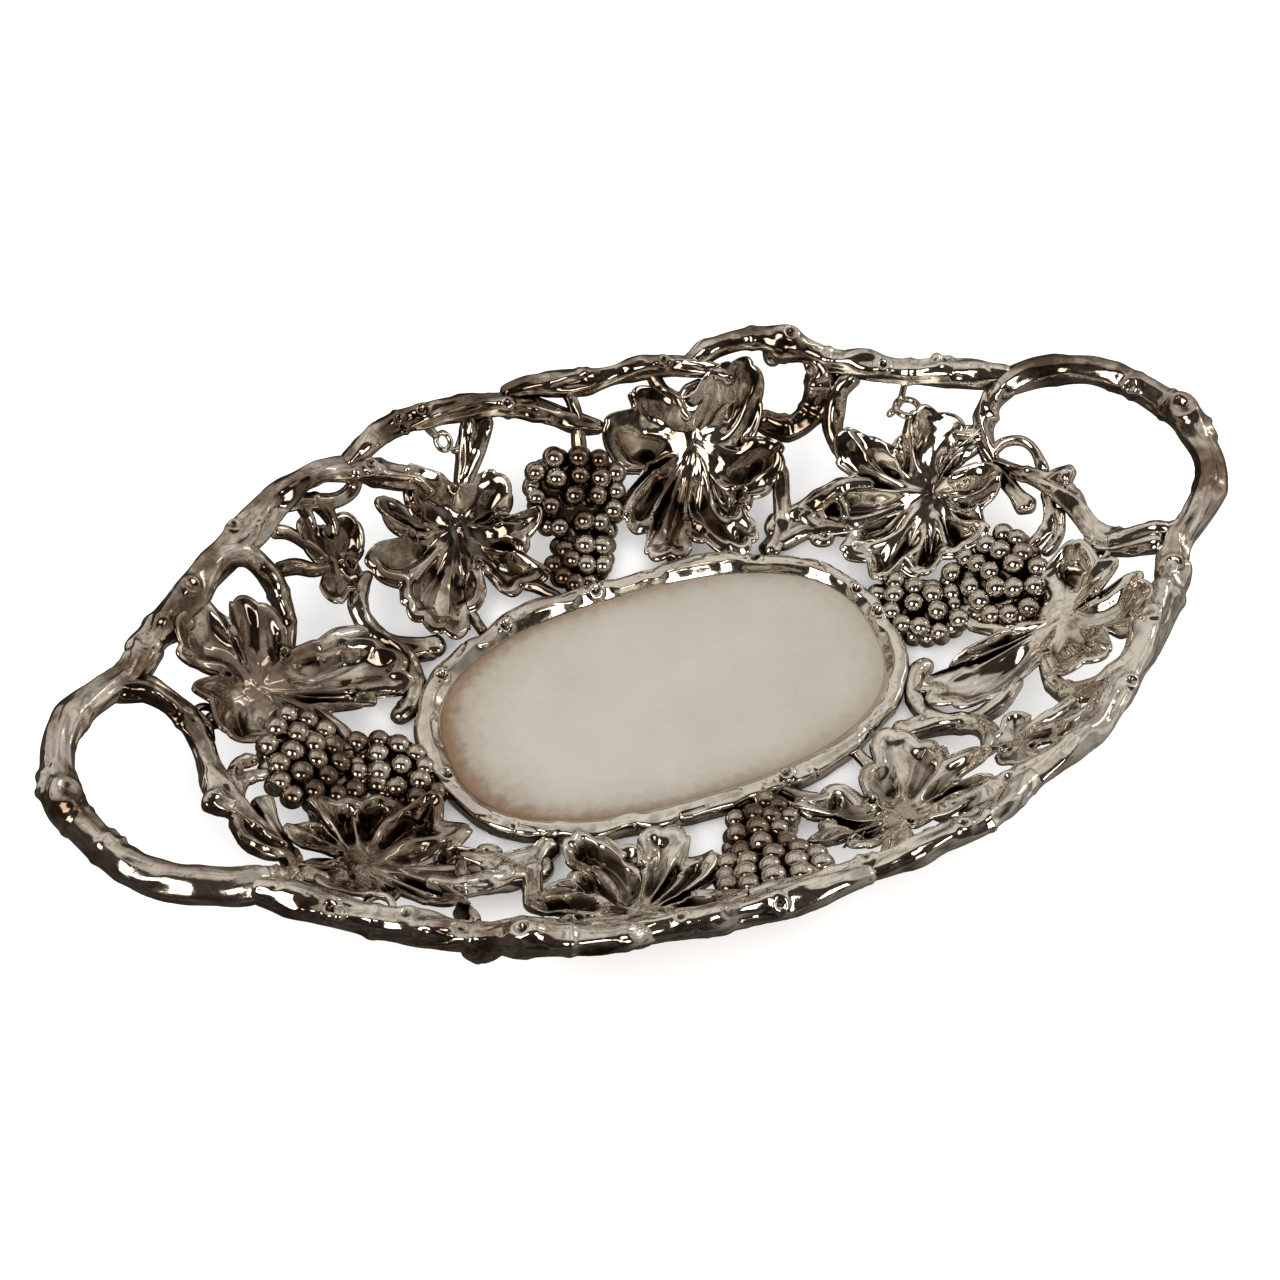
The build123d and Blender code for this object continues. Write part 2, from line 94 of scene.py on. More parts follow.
RIM_BRANCHES = {
    "rim_branch_shoulder": [
        (-148, 32, -2, 3.6), (-143, 37.5, -2, 4.2), (-136, 44.5, -1.5, 4.3), (-129, 50.5, -1, 4.2),
        (-122, 56.5, -0.5, 3.9), (-115, 62, 0, 3.8), (-108, 67.5, 0, 3.9), (-101, 73, 0, 3.9),
        (-94, 78, 0, 3.5), (-86, 81.5, 0, 3.1), (-77, 83.4, 0, 3.1), (-68, 83.8, 0, 3.2),
        (-60, 83, 0, 3.1), (-53, 81.6, 1, 2.9), (-48.5, 78, 1.5, 2.2),
    ],
    "rim_branch_middle": [
        (-74, 84, -1, 2.2), (-67, 88, -0.5, 2.8), (-60, 91.3, 0, 3.0), (-52, 93.8, 0, 3.1),
        (-44, 94.6, 0, 3.1), (-35, 95, 0, 3.0), (-26, 95.3, 0, 2.9), (-17, 94.6, 0, 2.9),
        (-8, 92.6, 0, 2.9), (-1, 90.2, 0, 2.8), (5, 88.3, 0, 2.6), (11, 86.3, 0.5, 1.8),
    ],
    "rim_branch_crown": [
        (-20, 97.2, -1, 1.8), (-11, 97.4, -0.5, 2.6), (-2, 96.8, 0, 3.0), (8, 96, 0, 3.2),
        (17, 95.6, 0, 3.0), (27, 95, 0, 2.9), (36, 93.2, 0, 2.9), (44, 90.6, 0, 2.8), (50, 88, 0.5, 2.7),
        (55.5, 84.8, 1, 2.0),
    ],
    "rim_branch_handle": [
        (40, 92.3, -2, 2.0), (48, 93.2, -1, 2.8), (57, 92, 0.5, 3.0), (66, 89.2, 1.5, 3.2),
        (71.5, 86.2, 2, 4.0), (78, 82.8, 1, 3.4), (84.5, 78.8, 0, 3.4), (92, 75, 0, 3.5),
        (100, 70, 0, 3.4),
        (107, 65.5, 0, 3.4), (114, 61.5, 0, 3.5), (121, 57, 0, 3.3), (128, 52.6, 0, 3.4),
        (135, 49, 0, 3.0),
    ],
}

STEMS = {
    "hook_branch": [[
        (78.5, 83, -0.5, 2.8), (82, 79, -3.5, 3.8), (79, 74, -5, 3.5), (72.5, 71.6, -4, 3.1),
        (66, 73, -3, 3.0), (60, 77, -1.5, 2.6),
    ]],
    "leaf_arc_branch": [[
        (92.5, 73.5, -1, 2.6), (86.5, 72.4, -2, 2.7), (83.2, 68.5, -3, 2.6), (82, 64, -2, 2.3),
        (82.5, 57.5, -0.5, 1.8),
    ]],
    "shoulder_arc_branch": [[
        (-128, 50, -1.5, 2.4), (-121.5, 56.8, -0.5, 2.7), (-115.5, 61.3, 0.5, 2.8),
        (-109, 62.3, 0.5, 2.9),
        (-104.3, 58.8, 0, 2.8), (-102.6, 53, -0.5, 2.4), (-103, 46, 0, 2.0), (-105.5, 38, 0.5, 1.6),
    ]],
    "foot_stem_shoulder": [
        [(-58, 38, 0, 2.6), (-66, 39.5, 0, 2.3), (-73, 41.5, 0, 2.3), (-79, 46, 0, 2.5), (-81, 52, 0, 2.2),
         (-78.5, 58, 0, 1.9), (-74, 61.5, 1, 1.4)],
        [(-78, 45.5, 0, 1.8), (-85, 45.2, 0, 2.2), (-91, 43.5, 0.5, 2.2), (-98, 39.5, 1, 1.6)],
    ],
    "hook_twig": [[
        (-80, 45, 0, 1.8), (-75, 42, 0, 2.1), (-71.5, 37, 0, 2.2), (-70.8, 31, -0.3, 2.3),
        (-72, 24.5, -0.5, 2.4), (-76.5, 19.7, -0.7, 2.5), (-81.5, 17.6, -0.8, 2.0),
    ]],
    "foot_stem_handle": [[
        (49, 38, 0, 2.8), (55, 43, 0, 2.5), (59, 48.5, 0, 2.5), (61, 55, 0, 2.2), (62.6, 61, 0.5, 1.9),
        (61, 66.5, 1, 1.4),
    ]],
    "leaf_feed_stem": [
        [(59.5, 49, 0, 2.2), (66, 48, 0, 2.7), (73, 49, 0.5, 2.6), (81, 49, 1, 2.2), (89, 45, 1.5, 1.6)],
        [(53, 40.5, 0, 2.0), (59, 42, 0, 2.5), (65, 42.3, 0, 2.5), (71, 40, 0.5, 2.2), (77, 35.5, 1, 1.6)],
        [(60, 41.5, 0, 2.0), (61.5, 45.5, 0, 2.2), (65, 49, 0, 2.0)],
    ],
    "crown_leaf_stem": [[
        (28.5, 94.5, -0.5, 1.8), (31.5, 90, 0, 1.7), (35, 86.5, 1, 1.7), (38.5, 81, 1.5, 1.4),
    ]],
    "middle_leaf_stem": [[
        (-25.5, 94, -0.5, 2.2), (-30.5, 88.5, 0, 2.4), (-34.5, 84, 1, 2.3), (-40, 78, 1.5, 1.6),
    ]],
    "small_leaf_stem": [
        [(-101, 69, 0, 1.8), (-96, 69.3, 0, 1.6), (-91, 67.3, 0.3, 1.5), (-86, 63.5, 0.8, 1.2)],
        [(-102.5, 60.5, -0.3, 1.9), (-96, 62, 0, 1.7), (-91, 61.5, 0.3, 1.5), (-85.5, 62.5, 0.8, 1.2)],
    ],
    "grape_stalk": [[
        (-1, 97, 0, 1.3), (1.6, 94, 0.8, 1.4), (2.6, 90, 1.2, 1.4), (2, 86, 1, 1.6),
        (0.5, 80.5, 1.5, 1.8),
    ]],
}

INNER_VINES = {
    "handle_crotch_vine": [
        [(134, 47.2, 0, 3.0), (127.5, 46.2, 0, 2.8), (123.6, 42.5, 0, 2.5), (122.4, 37, 0, 2.4),
         (122.4, 30, 0, 2.0)],
        [(121.5, 33, 1, 1.3), (126, 33.6, 1.5, 1.5), (130.2, 31, 1.5, 1.6), (132.8, 26, 1, 1.5),
         (133, 18, 0, 1.4)],
        [(122, 32, -0.5, 1.8), (123.5, 24.5, -0.5, 1.7), (124.6, 17.5, 0, 1.7), (125.6, 12.2, 0, 2.4),
         (125.8, 10.4, 0, 1.4)],
        [(122.8, 38.5, 0, 1.9), (118.5, 42.5, 0.3, 2.0), (114, 45.5, 0.8, 1.7)],
    ],
    "handle_side_vine": [
        [(122, 31.5, 0, 1.8), (125.6, 26.5, 0, 1.9), (129.3, 21, 0, 2.0), (132.6, 15, 0, 2.5),
         (134.9, 8, 0, 2.6), (136, 0, 0, 2.4), (136.3, -7, 0, 2.3), (138.5, -14, 0, 2.3),
         (143.5, -19.8, 0, 2.5), (150, -23.4, -1, 2.8), (157, -24, -1, 2.6)],
        [(132.3, 16, 0.3, 1.7), (135.5, 14.8, 0.6, 1.9), (138.2, 12.6, 1, 2.2), (139.2, 11.6, 1, 1.2)],
        [(134, -7, -0.5, 1.6), (135.8, -14, -0.5, 1.8), (140, -20.5, -1, 1.9), (147, -26.5, -2, 2.4)],
    ],
    "grape_link_twig": [[
        (132, 14.5, -0.5, 1.6), (129.8, 6.5, -0.5, 1.5), (125.8, 2.4, -0.5, 1.5), (119.5, 1, 0, 1.4),
    ]],
}

# Visual-only lines and knots: (x, y, lift, radius), and (share of length, angle, size, hole)
HANDLE_KNOTS = [
    (0.36, 60, 3.0, 0.3), (0.50, 20, 4.5, 0.3), (0.56, -80, 3.5, 0.2), (0.97, 0, 3.4, 1.6),
]
RIM_KNOTS = {
    "rim_branch_shoulder": [(0.22, 20, 2.6, 0.5), (0.42, -30, 2.4, 0.8), (0.8, 15, 2.6, 0.6)],
    "rim_branch_middle": [(0.33, 10, 2.4, 1.3), (0.24, 20, 1.8, 1.0), (0.62, 40, 2.2, 0.7)],
    "rim_branch_crown": [(0.35, -30, 2.4, 0.8), (0.68, 20, 2.4, 0.9)],
    "rim_branch_handle": [(0.32, 0, 3.0, 1.6), (0.62, 30, 2.4, 1.1), (0.8, -20, 2.4, 0.9)],
}
RIM_EXTRAS = {
    "rim_branch_shoulder": [
        [(-97, 74.5, -1, 2.2), (-91, 77, -1.5, 2.8), (-84.5, 77.6, -1.5, 2.6), (-78, 78.4, -1.5, 2.5),
         (-72.5, 81, -1, 2.2), (-69.5, 85.5, -0.5, 1.8)],
        [(-86.5, 78.5, -1, 2.4), (-83, 76, -1.6, 2.4), (-81.5, 73, -1, 2.0), (-82, 69.5, 0, 1.5)],
        [(-92, 79, -1, 2.0), (-88.5, 74.5, -1.5, 2.0), (-88.5, 70.5, -0.5, 1.7)],
        [(-117.5, 60.5, 0.5, 2.0), (-119, 64.5, 0.3, 1.5)],
    ],
    "rim_branch_handle": [
        [(67.5, 88.5, -1, 2.8), (68.6, 84.6, -2.6, 2.6)],
        [(71.4, 87.6, -1, 2.5), (71.8, 83.8, -2.4, 2.2)],
        [(114, 62, 1, 2.2), (116, 65.5, 1, 1.5)],
    ],
}
STEM_EXTRAS = {
    "leaf_feed_stem": [
        [(72, 48.5, 0.5, 1.6), (70, 44.5, 0.9, 1.8), (71.5, 40, 0.6, 1.6)],
        [(63, 43, 0.5, 1.6), (66.5, 45.5, 1.6, 1.6), (65.5, 48.2, 1.2, 1.3)],
        [(58, 42.5, 0, 1.7), (55, 46.5, 0, 1.9), (58.5, 50.5, 0, 1.5)],
        [(68, 41, 0.5, 1.5), (66.5, 37.5, 0.8, 1.7), (69.5, 35.5, 1.2, 1.4), (71.5, 37.8, 1.8, 1.0)],
        [(77, 48, 1, 1.5), (78, 43.5, 1.5, 1.6), (76.5, 39, 1.5, 1.3)],
    ],
    "middle_leaf_stem": [
        [(-31.2, 94, 0, 1.9), (-34.4, 89, 0, 2.0), (-37.4, 84, 0.6, 1.9), (-40.2, 79.5, 1, 1.4)],
        [(-28, 92, -0.4, 1.8), (-32, 88.5, -0.3, 2.0), (-35.5, 84.5, 0.4, 1.9), (-39, 80, 1, 1.4)],
    ],
    "crown_leaf_stem": [[
        (31, 91, 0, 1.3), (36, 86.8, 0.5, 1.3), (40, 87.5, 1, 1.3), (45, 87.3, 1.5, 1.1),
    ]],
    "grape_link_twig": [[
        (132, 7, -0.5, 1.5), (129.5, 0, -0.5, 1.4), (126, -3, -0.5, 1.4), (122.5, -4, 0, 1.3),
    ]],
    "foot_stem_shoulder": [[(-61, 36.5, 0, 1.5), (-67, 37, 0, 1.7), (-71.5, 36.5, 0, 1.5)]],
}

# ---- leaves: a middle, then the lobed edge as (x, y, lift) ----

LEAVES = {
    "leaf_shoulder": ((-117, 27), [
        (-124, 49, 0), (-119.5, 44.5, 0), (-117, 50.5, 1), (-110, 50, 2), (-104, 46, 1), (-104, 39.5, 0),
        (-96, 41.5, 2), (-86, 42, 3), (-77, 38, 3), (-72.5, 30, 2), (-76, 24, 1), (-84, 24.5, 0),
        (-89, 21, 1), (-99, 20, 1), (-95, 13, 2), (-97, 7, 1), (-106, 12, 0), (-121, 9, 1), (-129, 9, 2),
        (-131, 19, 2), (-134, 24, 1), (-126, 29, 0), (-134, 30, 2), (-134.5, 35, 3), (-131, 44, 2),
    ]),
    "leaf_middle": ((-44, 71), [
        (-46, 82, 1), (-41, 80, 0), (-33, 81.5, 2), (-27, 81, 2), (-24, 76, 1), (-27, 72, 0),
        (-16.5, 70.5, 3), (-22, 64.5, 2), (-25, 60.5, 0), (-21.5, 57, 2), (-20.5, 52, 2), (-29, 50.5, 1),
        (-36, 50.5, 1), (-39.5, 58, 0), (-42, 50, 2), (-48, 46, 2), (-50, 40.5, 2), (-58, 39.5, 3),
        (-63, 46, 2), (-66.5, 51, 2), (-67, 56, 1), (-73.5, 60.5, 3), (-71.5, 66, 2), (-62, 68.5, 0),
        (-66, 73, 2), (-64.5, 78, 2), (-58, 76, 0), (-55, 83, 2),
    ]),
    "leaf_crown": ((38, 77), [
        (41, 84.5, 2), (47, 87, 3), (54, 87, 3), (60.5, 84, 3), (61.5, 78, 2), (57, 71, 0), (62, 69, 3),
        (64, 63.5, 3), (59, 58, 1), (51, 55.5, 0), (47.5, 53, 1), (49, 48, 2), (45, 41.5, 2),
        (38.5, 41.5, 1),
        (32, 48, 1), (27, 52, 0), (26.5, 46.5, 2), (19, 46.5, 2), (13.5, 51, 2), (15.5, 58, 0),
        (9.5, 61.5, 2), (11.5, 69, 1), (19, 73.5, 0), (12.5, 77, 1), (10.5, 85.5, 2), (21, 87.5, 1),
        (22, 90.5, 2), (30, 89.5, 1), (34.5, 86, 0),
    ]),
    "leaf_handle": ((104, 34.5), [
        (105, 54.5, 3), (111.5, 51.5, 2), (117.5, 44, 1), (111, 40.5, 0), (121, 40, 1), (120, 36.5, 0),
        (110, 35, 0), (119, 31, 2), (120.5, 23.5, 2), (114, 20, 0), (112.5, 12.5, 1), (105, 11, 1),
        (98, 12.5, 0), (91, 11.5, 1), (85.5, 15.5, 1), (77, 14.5, 2), (77.5, 23, 1), (71.5, 28.5, 2),
        (75.5, 34, 0), (69, 38, 2), (64.5, 46, 2), (72, 50.5, 2), (82.5, 50, 0), (80.5, 56, 2),
        (83.5, 60.5, 3), (91, 57, 2), (97, 51.5, 0), (101, 53, 2),
    ]),
    "leaf_small": ((-84.5, 64), [
        (-91, 71.5, 1), (-83.5, 71, 0), (-80, 74.5, 1), (-74.5, 72.5, 2), (-75, 66.5, 1), (-78, 63, 0),
        (-76.5, 57.5, 1), (-82, 56.5, 1), (-86.5, 52.5, 2), (-90.5, 56.5, 1), (-88.5, 61, 0),
        (-92, 66, 1),
    ]),
}

# Short feet that tie a leaf down to the ring or across to its stem, cast with the leaf
LEAF_FEET = {
    "leaf_middle": [
        [(-48, 48, 0.5, 2.0), (-46.5, 43.5, 0, 1.8), (-45.5, 38.5, 0, 2.0)],
        [(-29, 52, 0.5, 1.8), (-23.5, 49, 0.5, 2.0), (-18.5, 43.5, 0, 1.8)],
    ],
    "leaf_crown": [
        [(20.5, 50, 0.5, 2.2), (21, 46.5, 0, 2.4), (21.8, 41.5, 0, 2.2)],
    ],
    "leaf_shoulder": [
        [(-129, 44, 1, 2.6), (-133, 41.5, -0.5, 2.6), (-138, 42, -1.5, 2.4)],
    ],
}

# ---- grape clusters: berry centres in plan, as (x, y, lift) ----

CLUSTERS = {
    "grapes_crown": [
        (-14.5, 80.5, 1), (-7.5, 82.5, 1.5), (0, 80.5, 3.5), (6.5, 79.5, 2), (-16, 74.8, 1),
        (-8.5, 77, 3.5),
        (-1.2, 75.6, 5), (5.2, 74.5, 3.5), (11, 76, 0.5), (-12.5, 71, 3), (-4.5, 71, 5.5), (2.5, 70, 4.5),
        (9.5, 71.5, 1), (-11.5, 65.5, 2), (-4, 64, 5), (1.3, 63.5, 2.5), (6.8, 66.5, 1.5), (-12, 58.8, 1),
        (-6, 57.3, 4), (-0.5, 56.5, 2), (-17, 55.3, 1), (-11.5, 54.2, 3), (-15.6, 50.5, 1),
        (-7.6, 51.4, 3),
        (-2.3, 50.6, 1.5), (-13, 47.2, 1),
    ],
    "grapes_handle_large": [
        (104.5, 9, 1), (110.5, 8.3, 2.5), (116.5, 9.5, 0.5), (99.5, 7.2, 0), (105.7, 3.8, 3),
        (112.3, 3.2, 4),
        (118.5, 5, 1.5), (96.5, 0.8, 0), (101, -1.6, 2.5), (107, -1.3, 4.5), (117.5, -0.8, 2),
        (113, -3.6, 5),
        (101.5, -7.2, 2), (106.3, -7, 4), (119, -7.6, 1.5), (110, -10.6, 4), (102.3, -13.6, 1),
        (106, -17, 2),
        (115.3, -13.2, 2.5), (111.2, -18.3, 1.5),
    ],
    "grapes_handle_small": [
        (82.5, 13, 1), (76.5, 11.8, 0), (80, 8, 2.5), (87, 8.2, 1.5), (92, 5.5, 0), (77.2, 3.2, 1.5),
        (83.8, 2, 3.5), (90.5, 2.6, 2), (78.3, -2.2, 1), (82.5, -6, 2), (89.2, -3.6, 2.5), (94, -9.2, 1),
        (87.3, -9.8, 0.5),
    ],
}

# The edge of the thin backing that a cluster's berries sit on, as (x, y, lift)
BACKINGS = {
    "grapes_crown": [
        (-16, 79, 0), (-8, 83, 0), (3, 82, 1), (10, 76, 0), (9.5, 69, 0), (4, 63, 0), (1, 56, 0),
        (-4, 50, 0), (-12, 47.5, 0), (-17, 54, 0), (-13, 62, 0), (-16, 72, 0),
    ],
    "grapes_handle_large": [
        (100, 8, 0), (109, 10, 0), (118, 8, 0), (121, 0, 0), (119, -8, 0), (115, -14, 0), (111, -18, 0),
        (105, -17, 0), (101, -12, 0), (97, -5, 0), (96, 2, 0),
    ],
    "grapes_handle_small": [
        (77, 12, 0), (84, 13, 0), (91, 7, 0), (91, 0, 0), (94, -8, 0), (88, -10, 0), (82, -7, 0),
        (77, -2, 0), (76, 5, 0),
    ],
}

# ---- the bowl surface ----


def bowl(x, y):
    """Height of the sides above the plate surface at places in plan."""
    x, y = np.asarray(x, float), np.asarray(y, float)
    reach_rim = np.maximum(np.hypot(x / RIM_A, y / RIM_B), 1e-6)
    reach_ring = (np.abs(x / RING_A) ** OVAL_POWER + np.abs(y / RING_B) ** OVAL_POWER) ** (1 / OVAL_POWER)
    reach_ring = np.maximum(reach_ring, 1.0)
    s = (1 - 1 / reach_ring) / (1 / reach_rim - 1 / reach_ring)
    steepness = 1.6 + 0.6 * (y / RIM_B / reach_rim) ** 2
    side = RIM_RISE * np.clip(s, 0, 1) ** steepness
    return np.where(s > 1, RIM_RISE + (s - 1) * FLARE_RISE, side)


def place(x, y, lift=0.0):
    """Points on the bowl surface, raised by lift."""
    return np.stack(np.broadcast_arrays(x, y, PLATE_TOP + bowl(x, y) + lift), axis=-1)


# ---- numbers ----


def unit(v):
    """Vectors of the same way and of length 1."""
    return v / np.maximum(np.linalg.norm(v, axis=-1, keepdims=True), 1e-9)


def ease(t, start, end):
    """0 below start, 1 above end, smooth between."""
    t = np.clip((t - start) / (end - start), 0, 1)
    return t * t * (3 - 2 * t)


def corner_value(ix, iy, iz, seed):
    """A repeatable number from -1 to 1 for each lattice corner."""
    h = (ix * 73856093) ^ (iy * 19349663) ^ (iz * 83492791) ^ (seed * 2654435761)
    h = h & 0xFFFFFFFF
    h = (((h >> 16) ^ h) * 0x45D9F3B) & 0xFFFFFFFF
    h = (((h >> 16) ^ h) * 0x45D9F3B) & 0xFFFFFFFF
    return ((h >> 16) ^ h) / 0x7FFFFFFF - 1


def noise(x, y, z, seed):
    """Smooth value noise from -1 to 1 with features about one unit across."""
    x, y, z = np.broadcast_arrays(x, y, z)
    cell = [np.floor(c).astype(np.int64) for c in (x, y, z)]
    part = [c - k for c, k in zip((x, y, z), cell)]
    part = [t * t * (3 - 2 * t) for t in part]
    total = 0
    for dx in (0, 1):
        for dy in (0, 1):
            for dz in (0, 1):
                weight = 1
                for t, d in zip(part, (dx, dy, dz)):
                    weight = weight * (t if d else 1 - t)
                total = total + weight * corner_value(cell[0] + dx, cell[1] + dy, cell[2] + dz, seed)
    return total


def smooth(points, each=8, closed=False):
    """Catmull-Rom rows between the listed points."""
    p = np.asarray(points, float)
    count = len(p)
    rows = []
    for i in range(count if closed else count - 1):
        if closed:
            a, b, c, d = (p[(i + k) % count] for k in (-1, 0, 1, 2))
        else:
            a, b, c, d = p[max(i - 1, 0)], p[i], p[i + 1], p[min(i + 2, count - 1)]
        t = np.arange(each)[:, None] / each
        rows.append(0.5 * (2 * b + (c - a) * t + (2 * a - 5 * b + 4 * c - d) * t ** 2
                           + (3 * b - a - 3 * c + d) * t ** 3))
    if not closed:
        rows.append(p[-1:])
    return np.concatenate(rows)


# ---- meshes: each maker returns (points, faces) in millimetres ----


def grid_faces(rows, cols):
    """Quads of a grid of points, rows by cols, closed across the columns."""
    i = np.arange(rows - 1)[:, None] * cols
    j = np.arange(cols)[None, :]
    k = (j + 1) % cols
    quads = np.stack(np.broadcast_arrays(i + j, i + k, i + cols + k, i + cols + j), axis=-1)
    return quads.reshape(-1, 4).tolist()


def capped_faces(rows, cols, flip=False):
    """The grid's quads, with a fan to a point before its first row and to one after its last.

    Those two points come last in the mesh. flip turns every face the other way."""
    faces = grid_faces(rows, cols)
    first, last, base = rows * cols, rows * cols + 1, (rows - 1) * cols
    for j in range(cols):
        k = (j + 1) % cols
        faces.append([first, k, j])
        faces.append([last, base + j, base + k])
    return [face[::-1] for face in faces] if flip else faces


def turns_left(rim):
    """Whether a closed outline in plan runs anticlockwise."""
    x, y = rim[:, 0], rim[:, 1]
    return np.sum(x * np.roll(y, -1) - np.roll(x, -1) * y) > 0


def joined(parts):
    """One mesh from several."""
    points, faces, start = [], [], 0
    for p, f in parts:
        points.append(p)
        faces += [[k + start for k in face] for face in f]
        start += len(p)
    return np.concatenate(points), faces


def tube(centre, radius, seed, bark=1.0, knots=(), step=STEP):
    """A closed round branch along a centre line, with lumps, facets and cut grooves.

    knots: (share of the length, angle from the top in degrees, size, depth of its hole)."""
    run = np.concatenate([[0], np.cumsum(np.linalg.norm(np.diff(centre, axis=0), axis=1))])
    length = run[-1]
    count = max(10, int(length / step))
    s = np.linspace(0, length, count + 1)
    mid = np.stack([np.interp(s, run, centre[:, k]) for k in range(3)], axis=1)
    thick = np.interp(s, run, radius)
    along = unit(np.gradient(mid, axis=0))
    up = unit(np.array([0, 0, 1.0]) - along[:, 2:3] * along)
    side = np.cross(along, up)
    mean = float(thick.mean())
    around = int(np.clip(2 * math.pi * mean / step, 12, 56))
    angle = np.linspace(0, 2 * math.pi, around, endpoint=False)[None, :]
    turn = angle + TWIST * s[:, None]
    c, n, along_s = np.cos(turn), np.sin(turn), s[:, None]
    lump = noise(c * 0.9 + 5, n * 0.9, along_s / (2.2 * mean), seed)
    facet = 0.40 - np.abs(noise(c * 1.1, n * 1.1 + 9, along_s / 22, seed + 1))
    dent = noise(c * 1.9, n * 1.9, along_s / 6.5, seed + 5)
    cut = np.exp(-(noise(c * 2.0, n * 2.0, along_s / 12, seed + 2) / 0.10) ** 2)
    cut = cut * ease(noise(c * 0.8, n * 0.8, along_s / 9, seed + 3), -0.05, 0.3)
    swell = np.exp(-((noise(0.5, 0.5, along_s / 9, seed + 4)) / 0.16) ** 2)
    relief = 0.15 * lump + 0.42 * facet + 0.03 * dent - 0.09 * cut + 0.14 * swell - 0.05
    field = thick[:, None] * (1 + bark * relief)
    for share, degrees, size, hole in knots:
        off = (angle - math.radians(degrees) + math.pi) % (2 * math.pi) - math.pi
        far = np.hypot(along_s - share * length, off * thick[:, None]) / size
        field = field + 0.32 * size * np.exp(-((far - 0.75) / 0.42) ** 2)
        field = field - hole * np.exp(-(far / 0.42) ** 2)
    # both ends are rounded off over a length of one radius
    end = np.minimum(s, length - s) / np.maximum(thick, 1e-6)
    end = np.sqrt(np.clip(1 - (1 - np.clip(end, 0.02, 1)) ** 2, 0, 1))[:, None]
    reach = (field * end)[..., None]
    skin = mid[:, None, :] + reach * (np.cos(angle)[..., None] * up[:, None, :]
                                      + np.sin(angle)[..., None] * side[:, None, :])
    points = np.concatenate([skin.reshape(-1, 3), mid[:1], mid[-1:]])
    return points, capped_faces(count + 1, around)


def vine(points, seed, bark=1.0, knots=(), step=STEP, girth=1.0):
    """A branch through (x, y, lift, radius) points of the bowl surface."""
    rows = smooth(points)
    return tube(place(rows[:, 0], rows[:, 1], rows[:, 2]), rows[:, 3] * girth, seed, bark, knots, step)


def curl(x, y, radius, wire, start, turns, lift, seed, shrink=1.0, flat=0.0):
    """A wire curl round a place in plan: start is its first angle in degrees."""
    count = max(6, int(abs(turns) * 12))
    points = []
    for k in range(count + 1):
        share = k / count
        a = math.radians(start) + share * turns * 2 * math.pi
        r = radius * (1 + (shrink - 1) * share)
        height = lift[0] + (lift[1] - lift[0]) * share
        points.append((x + r * math.cos(a), y + r * math.sin(a), height, wire))
    return vine(level(x, y, points, flat), seed, WIRE_BARK, step=WIRE_STEP)


def level(x, y, points, flat):
    """Points whose lifts count from the level of one place of the dish, by a share flat."""
    return [(px, py, lift + flat * (bowl(x, y) - bowl(px, py)), r) for px, py, lift, r in points]


def ball(centre, radius, seed):
    """A round berry, slightly uneven."""
    rows, cols = 22, 32
    polar = np.linspace(0, math.pi, rows + 1)[1:-1][:, None]
    around = np.linspace(0, 2 * math.pi, cols, endpoint=False)[None, :]
    way = np.stack(np.broadcast_arrays(np.sin(polar) * np.cos(around), np.sin(polar) * np.sin(around),
                                       np.cos(polar) + 0 * around), axis=-1)
    uneven = 1 + 0.03 * noise(way[..., 0] * 1.5, way[..., 1] * 1.5, way[..., 2] * 1.5, seed)
    skin = way * (radius * uneven)[..., None]
    poles = np.array([[0, 0, radius], [0, 0, -radius]])
    points = np.concatenate([skin.reshape(-1, 3), poles]) + centre
    return points, capped_faces(rows - 1, cols, flip=True)


def vein_ridge(x, y, start, end, width, height, groove=True):
    """A rib along a line in plan: two fine ridges with a groove between them, or one ridge."""
    sx, sy = start
    dx, dy = end[0] - sx, end[1] - sy
    share = np.clip(((x - sx) * dx + (y - sy) * dy) / (dx * dx + dy * dy), 0, 1)
    off = np.hypot(x - sx - share * dx, y - sy - share * dy)
    width = width * (1.15 - 0.6 * share)
    fade = 1 - ease(share, 0.8, 1.0)
    if groove:
        return height * fade * np.exp(-((off - width) / (0.6 * width)) ** 2)
    return height * fade * np.exp(-(off / width) ** 2)


def edge_distance(x, y, rim):
    """Distance in plan of each grid point from the nearest point of the edge."""
    best = np.full(x.shape, 1e9)
    for px, py in rim[:, :2]:
        best = np.minimum(best, (x - px) ** 2 + (y - py) ** 2)
    return np.sqrt(best)


def spread(middle, rim, v):
    """Places in plan on the lines from a middle to its edge, by shares v."""
    return [middle[i] + (rim[None, :, i] - middle[i]) * v for i in (0, 1)]


def lobe_marks(middle, edge):
    """Notches and tips of a lobed edge, by turns: indices into the edge. A lift of 0 is a notch."""
    far = [math.hypot(p[0] - middle[0], p[1] - middle[1]) for p in edge]
    groups, count = [], len(edge)
    low = [p[2] == 0 for p in edge]
    start = next(i for i in range(count) if low[i] and not low[i - 1])
    i = start
    while i < start + count:
        if low[i % count]:
            group = []
            while low[i % count] and i < start + count:
                group.append(i)
                i += 1
            groups.append(min(group, key=lambda k: far[k % count]))
        else:
            i += 1
    marks = []
    for a, b in zip(groups, groups[1:] + [groups[0] + count]):
        tip = max(range(a + 1, b), key=lambda k: far[k % count])
        marks += [a, tip]
    return marks


